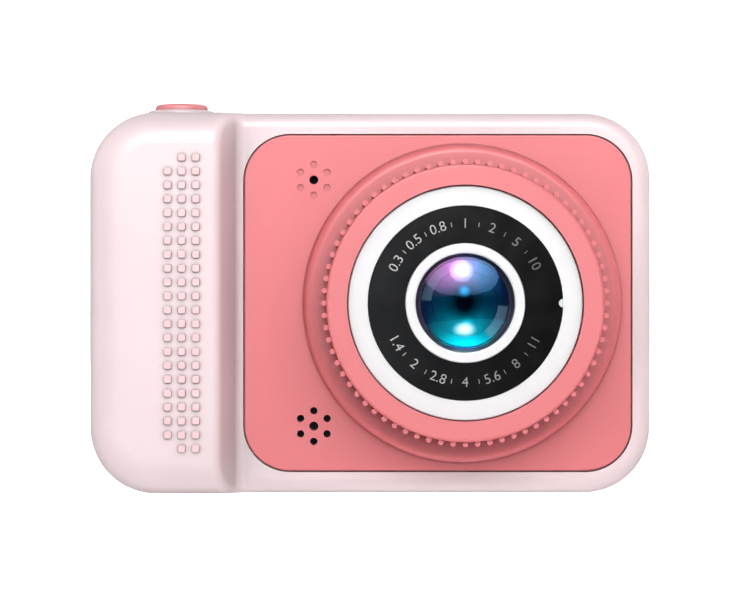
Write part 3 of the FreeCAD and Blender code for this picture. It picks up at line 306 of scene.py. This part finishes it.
def ink():
    """Printed marks: pale at the left of the dial and darker towards its right."""
    nodes = Nodes("ink")
    print_colour = nodes.ramp(across_disc(nodes), [
        (0.2, (0.6, 0.6, 0.6)),
        (0.6, (0.34, 0.34, 0.35)),
        (0.9, (0.12, 0.12, 0.125)),
    ])
    worn = nodes.spread(nodes.noise(0.25 * MM, 4.0), 0, 0.35)
    nodes.colour(nodes.mix(worn, print_colour, (0.08, 0.08, 0.085)))
    nodes.roughness(nodes.spread(nodes.noise(0.5 * MM), 0.4, 0.6))
    return nodes.material


def key_print():
    pale = (0.95, 0.88, 0.88)
    return moulded("key_print", pale, 0.45, grain=0.1 * MM, depth=0.003 * MM, drift=0.04).material


def rubber():
    dark = (0.02, 0.02, 0.02)
    return moulded("boot_rubber", dark, 0.75, grain=0.1 * MM, depth=0.02 * MM, drift=0.3).material


def glass():
    """Clear glass, coated pink to blue above and teal below, that lets light reach what is behind."""
    nodes = Nodes("coated_glass")
    smear = nodes.noise(5 * MM, 3.0)
    nodes.roughness(nodes.spread(smear, 0.0, 0.025))
    nodes.plain(Transmission_Weight=1.0, IOR=1.52, Base_Color=(0.93, 0.97, 1.0, 1))
    right, above, distance = lens_place(nodes)
    bloom = nodes.ramp(nodes.spread(right, 0, 1, -1, 1), [
        (0.1, (1.0, 0.4, 0.95)),
        (0.4, (1.0, 0.75, 1.0)),
        (0.6, (0.7, 0.9, 1.0)),
        (0.9, (0.2, 0.45, 1.0)),
    ])
    nodes.tint(nodes.mix(nodes.spread(above, 0, 1, 0.1, 0.6), (0.02, 0.16, 0.2), bloom))
    clear = nodes.add("ShaderNodeBsdfTransparent")
    clear.inputs["Color"].default_value = (0.9, 0.95, 1.0, 1)
    path = nodes.add("ShaderNodeLightPath")
    blend = nodes.add("ShaderNodeMixShader")
    nodes.link(path.outputs["Is Shadow Ray"], blend.inputs[0])
    nodes.link(nodes.shader.outputs[0], blend.inputs[1])
    nodes.link(clear.outputs[0], blend.inputs[2])
    nodes.link(blend.outputs[0], nodes.tree.nodes["Material Output"].inputs["Surface"])
    return nodes.material


def window():
    """The screen's cover: clear over a dark display, printed black round it."""
    nodes = Nodes("screen_cover")
    low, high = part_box("screen_window")
    middle = (low + high) / 2
    across, depth, up = nodes.apart()
    half_width, half_height, edge = 22.0 * MM, 16.5 * MM, 0.15 * MM
    shares = []
    for value, centre, half in ((across, middle.x, half_width), (up, middle.z, half_height)):
        distance = nodes.math("ABSOLUTE", nodes.math("SUBTRACT", value, centre))
        shares.append(nodes.spread(distance, 1, 0, half - edge, half))
    inside = nodes.math("MULTIPLY", *shares)
    glow = nodes.ramp(nodes.noise(30 * MM, 1.0), [
        (0.3, (0.012, 0.016, 0.022)),
        (0.7, (0.024, 0.03, 0.038)),
    ])
    nodes.colour(nodes.mix(inside, (0.004, 0.004, 0.005), glow))
    nodes.roughness(nodes.spread(nodes.noise(6 * MM, 4.0), 0.04, 0.1))
    nodes.plain(Coat_Weight=0.6, Coat_Roughness=0.03)
    return nodes.material


def display():
    """The display module: a dark panel with a faint, slow drift in its tone."""
    return moulded("display_module", (0.05, 0.055, 0.065), 0.3, grain=0.3 * MM, drift=0.15).material


def board():
    """A circuit board: green mask over a faint net of traces, with bright pads."""
    nodes = Nodes("board_mask")
    cells = nodes.add("ShaderNodeTexVoronoi", feature="DISTANCE_TO_EDGE")
    cells.inputs["Scale"].default_value = 1 / (1.6 * MM)
    nodes.link(nodes.place, cells.inputs["Vector"])
    traces = nodes.spread(cells.outputs["Distance"], 1, 0, 0.06, 0.12)
    green = nodes.mix(traces, (0.012, 0.11, 0.05), (0.02, 0.2, 0.09))
    dots = nodes.add("ShaderNodeTexVoronoi", feature="F1")
    dots.inputs["Scale"].default_value = 1 / (2.4 * MM)
    nodes.link(nodes.place, dots.inputs["Vector"])
    pads = nodes.spread(dots.outputs["Distance"], 1, 0, 0.14, 0.17)
    nodes.colour(nodes.mix(pads, green, (0.72, 0.6, 0.33)))
    nodes.roughness(nodes.spread(pads, 0.32, 0.2, 0, 1))
    nodes.bump(traces, 0.02 * MM)
    return nodes.material


def chip():
    epoxy = (0.022, 0.022, 0.024)
    return moulded("chip_epoxy", epoxy, 0.6, grain=0.08 * MM, depth=0.015 * MM, drift=0.25).material


def flex():
    """Amber ribbon cable with copper lines running along it."""
    nodes = Nodes("flex_ribbon")
    across, depth, up = nodes.apart()
    stripes = nodes.math("SINE", nodes.math("MULTIPLY", across, 2 * math.pi / (0.5 * MM)))
    lines = nodes.spread(stripes, 0, 1, -0.2, 0.2)
    nodes.colour(nodes.mix(lines, (0.55, 0.26, 0.05), (0.35, 0.13, 0.03)))
    nodes.roughness(nodes.spread(nodes.noise(2 * MM), 0.25, 0.4))
    nodes.bump(lines, 0.01 * MM)
    return nodes.material


def switch():
    dark = (0.05, 0.05, 0.055)
    return moulded("switch_housing", dark, 0.45, grain=0.1 * MM, depth=0.01 * MM, drift=0.2).material


def steel():
    return brushed("pin_steel", (0.62, 0.62, 0.64), 0.28, (8, 8, 1)).material


def screw_steel():
    return brushed("screw_steel", (0.24, 0.24, 0.26), 0.35, (6, 1, 6)).material


def socket_metal():
    return brushed("socket_metal", (0.6, 0.6, 0.63), 0.3, (1, 8, 8)).material


def card_plastic():
    dark = (0.03, 0.03, 0.035)
    return moulded("card_plastic", dark, 0.42, grain=0.2 * MM, depth=0.008 * MM, drift=0.15).material


def battery_foil():
    """Crinkled foil of a pouch cell."""
    nodes = Nodes("battery_foil")
    crinkle = nodes.noise(1.8 * MM, 6.0)
    nodes.colour(nodes.mix(nodes.spread(crinkle, 0, 1), (0.52, 0.53, 0.56), (0.72, 0.73, 0.75)))
    nodes.roughness(nodes.spread(crinkle, 0.22, 0.4))
    nodes.bump(crinkle, 0.12 * MM)
    nodes.plain(Metallic=1.0)
    return nodes.material


def lead(name, colour):
    return moulded(name, colour, 0.4, grain=0.3 * MM, depth=0.01 * MM, drift=0.1).material


def lens_place(nodes):
    """How far a point lies right of, above and from the middle of the lens; its glass ends at 1."""
    low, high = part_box("lens_dome")
    middle, radius = (low + high) / 2, (high.x - low.x) / 2
    across, depth, up = nodes.apart()
    right = nodes.math("DIVIDE", nodes.math("SUBTRACT", across, middle.x), radius)
    above = nodes.math("DIVIDE", nodes.math("SUBTRACT", up, middle.z), radius)
    return right, above, nodes.length(right, above)


def coating_and_reflection_colours(nodes, right, above, distance):
    """Pink to blue above and cyan below, painted reflections, with teal in the middle and dusky sides."""
    # Painted reflection of a soft box: pink at the left to blue at the right, above the middle
    upper = nodes.mix(nodes.spread(right, 0, 1, -0.3, 0.35), (1.0, 0.36, 0.95), (0.1, 0.42, 0.95))
    # Below, a painted reflection: a pale edge and a cyan crescent over teal
    lower = nodes.ramp(nodes.spread(above, 0, 1, -1.0, 0.0), [
        (0.02, (0.8, 1.0, 1.0)),
        (0.1, (0.02, 0.3, 0.75)),
        (0.2, (0.0, 0.8, 0.9)),
        (0.4, (0.0, 0.38, 0.42)),
        (0.75, (0.0, 0.16, 0.2)),
        (1.0, (0.0, 0.08, 0.13)),
    ])
    colour = nodes.mix(nodes.spread(above, 0, 1, 0.1, 0.75), lower, upper)
    aside = nodes.math("ABSOLUTE", right)
    dimmed = nodes.mix(nodes.spread(aside, 0, 0.96, 0.15, 0.75), colour, (0.004, 0.014, 0.05))
    # A thin purple rim at the sides, a painted reflection of the glass's edge
    outside = nodes.spread(distance, 0, 1, RIM_RADIUS, RIM_RADIUS + 0.03)
    rim = nodes.math("MULTIPLY", outside, nodes.spread(aside, 0, 0.9, 0.5, 0.8))
    return nodes.mix(rim, dimmed, (0.2, 0.13, 0.25))


def pane_reflections(nodes, right, above, distance):
    """Two pale patches on opposite sides of the lens, a painted reflection of the panes of a window."""
    half_turns = nodes.math("DIVIDE", nodes.math("ARCTAN2", above, right), math.pi)
    turn = nodes.math("FRACT", half_turns)
    sector = nodes.within(turn, 0.69, 0.985, 0.015)
    ring = nodes.within(distance, PANE_INNER, PANE_OUTER, 0.02)
    return nodes.math("MULTIPLY", nodes.math("MULTIPLY", sector, ring), 0.28)


def soft_highlight(nodes, right, above, height, half_width, half_height):
    """How far a point lies inside a soft round painted highlight on the middle line of the lens."""
    across = nodes.math("DIVIDE", right, half_width)
    rise = nodes.math("DIVIDE", nodes.math("SUBTRACT", above, height), half_height)
    return nodes.math("POWER", nodes.spread(nodes.length(across, rise), 1, 0, 0.15, 1.0), 1.6)


def lens_coating_and_reflections():
    """The hollow coated element, with a painted shade for a dark pupil between a small painted blue
    highlight and a paler one.
    """
    nodes = Nodes("lens_coating_and_reflections")
    right, above, distance = lens_place(nodes)
    colour = coating_and_reflection_colours(nodes, right, above, distance)
    reflected_panes = nodes.mix(pane_reflections(nodes, right, above, distance), colour, (0.3, 0.4, 0.45))
    # Painted shade darkens the middle into a pupil, with a thin dark circle round it
    darkness = nodes.ramp(distance, [
        (0.12, (1, 1, 1)),
        (0.4, (0.25, 0.25, 0.25)),
        (CIRCLE_RADIUS - 0.04, (0.05, 0.05, 0.05)),
        (CIRCLE_RADIUS - 0.015, (0, 0, 0)),
        (CIRCLE_RADIUS, (0.7, 0.7, 0.7)),
        (CIRCLE_RADIUS + 0.015, (0, 0, 0)),
    ])
    shaded = nodes.mix(darkness, reflected_panes, (0.0, 0.002, 0.008))
    # Painted highlights: a small blue one above the pupil and a paler one below
    blue_highlight = soft_highlight(nodes, right, above, BLUE_HIGHLIGHT_HEIGHT, BLUE_HIGHLIGHT_RADIUS, BLUE_HIGHLIGHT_RADIUS)
    pale_highlight = soft_highlight(nodes, right, above, PALE_HIGHLIGHT_HEIGHT, PALE_HIGHLIGHT_HALF_WIDTH,
                          PALE_HIGHLIGHT_HALF_HEIGHT)
    finished = nodes.mix(blue_highlight, shaded, (0.02, 0.5, 1.0))
    finished = nodes.mix(pale_highlight, finished, (0.8, 1.0, 1.0))
    nodes.colour(finished)
    nodes.tint(finished)
    nodes.roughness(nodes.spread(nodes.noise(3 * MM), 0.05, 0.08))
    nodes.plain(Specular_IOR_Level=1.0)
    return nodes.material


def holder_black():
    """The lens holder: black, with the coating's painted reflections carried onto the seat under its rim.
    """
    nodes = moulded("holder_black", BLACK, 0.4, grain=0.15 * MM, depth=0.006 * MM)
    right, above, distance = lens_place(nodes)
    seat = nodes.spread(distance, 1, 0, 0.98, 1.02)
    nodes.colour(nodes.mix(seat, BLACK, coating_and_reflection_colours(nodes, right, above, distance)))
    return nodes.material


def dress(material, *names):
    """Give CAD nodes a material."""
    for name in names:
        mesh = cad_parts[name].data
        mesh.materials.clear()
        mesh.materials.append(material)


def dress_camera():
    dress(shell_plastic(), "front_shell", "rear_shell", "shutter_collar")
    dress(coral_plastic(), "faceplate", "lens_base", "lens_ring", *KEYS)
    dress(button_plastic(), "shutter_button")
    dress(stud_plastic(), "grip_studs")
    dress(white_plastic(), "lens_bezel", "lens_trim_ring")
    dress(disc_black(), "lens_disc")
    dress(black_plastic(), "lens_tube", "camera_module", "speaker", "microphone")
    dress(holder_black(), "lens_holder")
    dress(glass(), "lens_dome", "module_lens")
    dress(window(), "screen_window")
    dress(display(), "lcd_panel")
    dress(board(), "main_board", "key_board", "shutter_board", "sensor_board")
    dress(chip(), "processor", "memory_chip")
    dress(flex(), "lcd_flex", "sensor_flex")
    dress(switch(), "shutter_switch", "key_switches")
    dress(steel(), "strap_bar")
    dress(screw_steel(), "case_screws", "board_screws", "key_board_screws", "lens_screws")
    dress(socket_metal(), "usb_port", "sd_socket")
    dress(card_plastic(), "sd_card")
    dress(battery_foil(), "battery")
    dress(rubber(), "microphone_boot")
    dress(lead("lead_black", (0.02, 0.02, 0.02)), "battery_lead_black", "speaker_leads")
    dress(lead("lead_red", (0.5, 0.02, 0.02)), "battery_lead_red")


# ---- Pieces made here ----

def new_piece(name, mesh, material, body):
    """A mesh object with one material, which rides on a CAD body."""
    piece = bpy.data.objects.new(name, mesh)
    bpy.context.scene.collection.objects.link(piece)
    mesh.materials.append(material)
    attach(piece, body)


def turned_mesh(name, profile, centre, steps=96):
    """A surface turned about the lens axis, from (radius, y) pairs."""
    shape = bmesh.new()
    rings = []
    for radius, y in profile:
        ring = []
        for step in range(steps):
            angle = 2 * math.pi * step / steps
            ring.append(shape.verts.new((centre.x + radius * math.cos(angle), y,
                                         centre.z + radius * math.sin(angle))))
        rings.append(ring)
    for inner, outer in zip(rings, rings[1:]):
        for step in range(steps):
            following = (step + 1) % steps
            shape.faces.new((inner[step], outer[step], outer[following], inner[following]))
    bmesh.ops.recalc_face_normals(shape, faces=shape.faces)
    for face in shape.faces:
        face.smooth = True
    mesh = bpy.data.meshes.new(name)
    shape.to_mesh(mesh)
    shape.free()
    return mesh


def bowl(radius, curve, pinhole, front, thick):
    """The outline of a hollow-faced disc with a pinhole in the middle, as (radius, y) pairs."""
    steps = 32
    rim_sag = curve - math.sqrt(curve ** 2 - radius ** 2)
    face = []
    for step in range(steps + 1):
        r = radius + (pinhole - radius) * step / steps
        sag = curve - math.sqrt(curve ** 2 - r ** 2)
        face.append((r, front + rim_sag - sag))
    back = [(r, y + thick) for r, y in reversed(face)]
    return face + back + face[:1]


def make_lens_element():
    """The hollow coated element behind the dome."""
    low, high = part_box("lens_dome")
    behind_dome = high.y + 0.5 * MM
    outline = bowl(radius=6.8 * MM, curve=11.8 * MM, pinhole=0.02 * MM, front=behind_dome, thick=0.4 * MM)
    mesh = turned_mesh("lens_inner_element", outline, (low + high) / 2)
    new_piece("lens_inner_element", mesh, lens_coating_and_reflections(), "camera_body")


# Each mark is drawn flat, in metres, to the right and up, and then stood in place

def flat_piece(shape, outline, thick):
    """Add a flat plate with the given outline to a mesh under construction."""
    front = [shape.verts.new((x, y, 0)) for x, y in outline]
    back = [shape.verts.new((x, y, thick)) for x, y in outline]
    shape.faces.new(list(reversed(front)))
    shape.faces.new(back)
    count = len(outline)
    for n in range(count):
        after = (n + 1) % count
        shape.faces.new((front[n], front[after], back[after], back[n]))


def bar(shape, x, y, width, height, thick):
    corners = [(x - width / 2, y - height / 2), (x + width / 2, y - height / 2),
               (x + width / 2, y + height / 2), (x - width / 2, y + height / 2)]
    flat_piece(shape, corners, thick)


def arrow(shape, size, heading, thick):
    """A triangle that points at a heading, in degrees from the right."""
    corners = []
    for turn in (0, 120, 240):
        angle = math.radians(heading + turn)
        corners.append((size * math.cos(angle), size * math.sin(angle)))
    flat_piece(shape, corners, thick)


def band(shape, radius, width, start, stop, thick):
    """Part of a ring, between two angles in degrees."""
    steps = 40
    for step in range(steps):
        first = math.radians(start + (stop - start) * step / steps)
        second = math.radians(start + (stop - start) * (step + 1) / steps)
        inner, outer = radius - width / 2, radius + width / 2
        flat_piece(shape, [(inner * math.cos(first), inner * math.sin(first)),
                           (outer * math.cos(first), outer * math.sin(first)),
                           (outer * math.cos(second), outer * math.sin(second)),
                           (inner * math.cos(second), inner * math.sin(second))], thick)


def draw_icon(shape, key, size, thick):
    """A key's sign: an arrow, a ring, three bars or a broken ring with a bar, by what the key does."""
    line = size * 0.24
    headings = {"right_key": 0, "up_key": 90, "left_key": 180, "down_key": 270, "play_key": 0}
    if key in headings:
        arrow(shape, size, headings[key], thick)
    elif key == "ok_key":
        band(shape, size * 0.85, line, 0, 360, thick)
    elif key == "menu_key":
        for level in (-1, 0, 1):
            bar(shape, 0, level * size * 0.6, size * 1.7, line, thick)
    elif key == "power_key":
        band(shape, size * 0.85, line, 125, 415, thick)
        bar(shape, 0, size * 0.6, line, size * 0.9, thick)


def make_key_icons():
    """A small raised sign on each key, seen from behind."""
    size, thick = 1.05 * MM, 0.03 * MM
    material = key_print()
    seen_from_behind = Matrix(((-1, 0, 0), (0, 0, 1), (0, 1, 0))).to_4x4()
    for key in KEYS:
        low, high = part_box(key)
        shape = bmesh.new()
        draw_icon(shape, key, size, thick)
        mesh = bpy.data.meshes.new(f"{key}_icon")
        shape.to_mesh(mesh)
        shape.free()
        middle = Vector(((low.x + high.x) / 2, high.y - thick / 2, (low.z + high.z) / 2))
        mesh.transform(Matrix.Translation(middle) @ seen_from_behind)
        new_piece(f"{key}_icon", mesh, material, key)


def numeral_mesh(text, height):
    """The mesh of a number of a given height, centred on the origin."""
    figure_share = 0.73  # the height of a figure in the font, as a share of the text size
    curve = bpy.data.curves.new(text, "FONT")
    curve.body = text
    curve.size = height / figure_share
    curve.align_x, curve.align_y = "CENTER", "CENTER"
    curve.extrude = 0.005 * MM
    holder = bpy.data.objects.new(text, curve)
    mesh = bpy.data.meshes.new_from_object(holder)
    bpy.data.objects.remove(holder)
    bpy.data.curves.remove(curve)
    return mesh


def stand_on_dial(shape, mesh, centre, radius, angle, outward):
    """Move a flat mark onto the dial at an angle, with its top away from or towards the middle."""
    a = math.radians(angle)
    out = Vector((math.cos(a), 0, math.sin(a)))
    up = out if outward else -out
    front = Vector((0, -1, 0))
    turn = Matrix((up.cross(front), up, front)).transposed().to_4x4()
    mesh.transform(Matrix.Translation(centre + out * radius) @ turn)
    shape.from_mesh(mesh)
    bpy.data.meshes.remove(mesh)


def tick_mesh():
    """The mesh of a short upright tick, centred on the origin."""
    shape = bmesh.new()
    bar(shape, 0, 0, 0.13 * MM, 0.75 * MM, 0.01 * MM)
    mesh = bpy.data.meshes.new("tick")
    shape.to_mesh(mesh)
    shape.free()
    return mesh


def dial_row(shape, words, centre, start, stop, outward):
    """Numbers along an arc, with a short tick between neighbours."""
    radius, height = 12.8 * MM, 1.65 * MM
    step = (stop - start) / (len(words) - 1)
    for n, word in enumerate(words):
        stand_on_dial(shape, numeral_mesh(word, height), centre, radius, start + n * step, outward)
        if n:
            stand_on_dial(shape, tick_mesh(), centre, radius, start + (n - 0.5) * step, outward)


def make_dial_marks():
    """Plain distance and stop numbers printed round the black disc."""
    low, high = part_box("lens_disc")
    centre = Vector(((low.x + high.x) / 2, low.y, (low.z + high.z) / 2))
    shape = bmesh.new()
    dial_row(shape, ("0.3", "0.5", "0.8", "1", "2", "5", "10"), centre, 150, 30, True)
    dial_row(shape, ("1.4", "2", "2.8", "4", "5.6", "8", "11"), centre, -150, -30, False)
    mesh = bpy.data.meshes.new("dial_marks")
    shape.to_mesh(mesh)
    shape.free()
    new_piece("dial_marks", mesh, ink(), "camera_body")


def make_pieces():
    make_lens_element()
    make_key_icons()
    make_dial_marks()


# ---- Studio ----

def area_light(name, place, target, width, height, radiance, glossy=False, diffuse=True):
    """A soft light of a given radiance that faces a point: round where reflections show it."""
    data = bpy.data.lights.new(name, "AREA")
    data.shape = "ELLIPSE" if glossy else "RECTANGLE"
    data.size, data.size_y = width, height
    data.energy = radiance * math.pi * width * height
    light = bpy.data.objects.new(name, data)
    bpy.context.scene.collection.objects.link(light)
    light.location = place
    light.rotation_euler = (Vector(target) - Vector(place)).to_track_quat("-Z", "Y").to_euler()
    light.visible_camera = False
    light.visible_glossy = glossy
    light.visible_transmission = glossy
    light.visible_diffuse = diffuse


def from_angles(azimuth, elevation, distance):
    """The way to a light: azimuth 0 is in front of the lens and 90 on the +X side."""
    a, e = math.radians(azimuth), math.radians(elevation)
    level = math.cos(e)
    return Vector((math.sin(a) * level, -math.cos(a) * level, math.sin(e))) * distance


def panel(name, target, azimuth, elevation, radiance, side=0.45, distance=0.8):
    """A square panel that lights the camera from one direction but shows in no reflection."""
    place = target + from_angles(azimuth, elevation, distance)
    area_light(name, place, target, side, side, radiance)


def light_front(target):
    """Light on the front, most of it from straight ahead and from a little above."""
    panel("key_panel", target, azimuth=0, elevation=32, radiance=1.35)
    panel("key_right", target, azimuth=35, elevation=38, radiance=1.3)
    panel("key_left", target, azimuth=-35, elevation=38, radiance=0.8)
    panel("front_panel", target, azimuth=0, elevation=6, radiance=4.0, side=0.7, distance=1.0)
    panel("front_right", target, azimuth=50, elevation=5, radiance=0.6)
    panel("front_left", target, azimuth=-50, elevation=5, radiance=0.6)


def light_all_round(target):
    """Light for the sides, the back and, as if off a table, the underside."""
    panel("side_right", target, azimuth=105, elevation=8, radiance=2.2, side=0.5)
    panel("side_left", target, azimuth=-95, elevation=5, radiance=2.0, side=0.5)
    panel("back_right", target, azimuth=130, elevation=20, radiance=2.2, side=0.6)
    panel("back_left", target, azimuth=-130, elevation=20, radiance=2.4, side=0.6)
    panel("back_panel", target, azimuth=180, elevation=30, radiance=2.6, side=0.6)
    panel("table_bounce", target, azimuth=0, elevation=-95, radiance=4.6, side=0.5)


def light_reflections(target):
    """A wide soft box and a bright lamp that only reflections show; the lamp fades towards its edge."""
    lamp_radiance, layers = 24.0, 4
    lamp_place = target + from_angles(azimuth=0, elevation=30, distance=0.7)
    for n in range(layers):
        side = 0.11 + 0.05 * n
        area_light(f"lamp_{n}", lamp_place, target, side, side, lamp_radiance / (n + 1),
                   glossy=True, diffuse=False)
    box_place = target + from_angles(azimuth=0, elevation=25.6, distance=0.8)
    area_light("soft_box", box_place, target, width=1.04, height=0.55, radiance=4.6,
               glossy=True, diffuse=False)


def make_world():
    """A faint, even light from all round."""
    world = bpy.data.worlds.new("studio")
    world.use_nodes = True
    bpy.context.scene.world = world
    background = world.node_tree.nodes["Background"]
    background.inputs["Color"].default_value = (1.0, 0.99, 0.99, 1)
    background.inputs["Strength"].default_value = 0.07


def make_room():
    """A round studio: a pale floor that curves up into a wall all round."""
    nodes = Nodes("studio_white")
    nodes.colour(nodes.mix(nodes.spread(nodes.noise(0.3), 0, 1), (0.88, 0.88, 0.88), (0.9, 0.9, 0.9)))
    nodes.plain(Roughness=0.9, Emission_Color=(1, 1, 1, 1), Emission_Strength=1.0)
    radius, bend, top, bend_steps = 2.2, 0.5, 3.0, 12
    profile = [(0.0005, 0.0), (0.2, 0.0), (radius - bend, 0.0)]
    for step in range(1, bend_steps + 1):
        angle = math.pi / 2 * step / bend_steps
        profile.append((radius - bend + bend * math.sin(angle), bend - bend * math.cos(angle)))
    profile.append((radius, top))
    mesh = turned_mesh("studio_room", profile, Vector((0, 0, 0)), 128)
    mesh.transform(Matrix.Rotation(math.radians(90), 4, "X"))
    room = bpy.data.objects.new("studio_room", mesh)
    bpy.context.scene.collection.objects.link(room)
    mesh.materials.append(nodes.material)
    for ray in ("visible_diffuse", "visible_glossy", "visible_transmission", "visible_shadow"):
        setattr(room, ray, False)


def make_camera(target):
    """A level camera at the distance that gives the photograph's perspective."""
    distance, aside, rise = 407 * MM, -0.56 * MM, 0.5 * MM
    data = bpy.data.cameras.new("view")
    data.sensor_width = 36.0
    data.lens = 117.67
    data.clip_start = 0.01
    data.clip_end = 20.0
    camera = bpy.data.objects.new("view", data)
    bpy.context.scene.collection.objects.link(camera)
    camera.location = (aside, -distance, target.z + rise)
    camera.rotation_euler = (math.radians(90), 0, 0)
    bpy.context.scene.camera = camera


def make_studio():
    low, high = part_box("faceplate")
    target = Vector((0, low.y, (low.z + high.z) / 2))
    make_world()
    light_front(target)
    light_all_round(target)
    light_reflections(target)
    make_room()
    make_camera(target)
    view = bpy.context.scene.view_settings
    view.view_transform = "Standard"
    view.exposure = 0.1
    view.gamma = 0.8


dress_camera()
make_pieces()
make_studio()
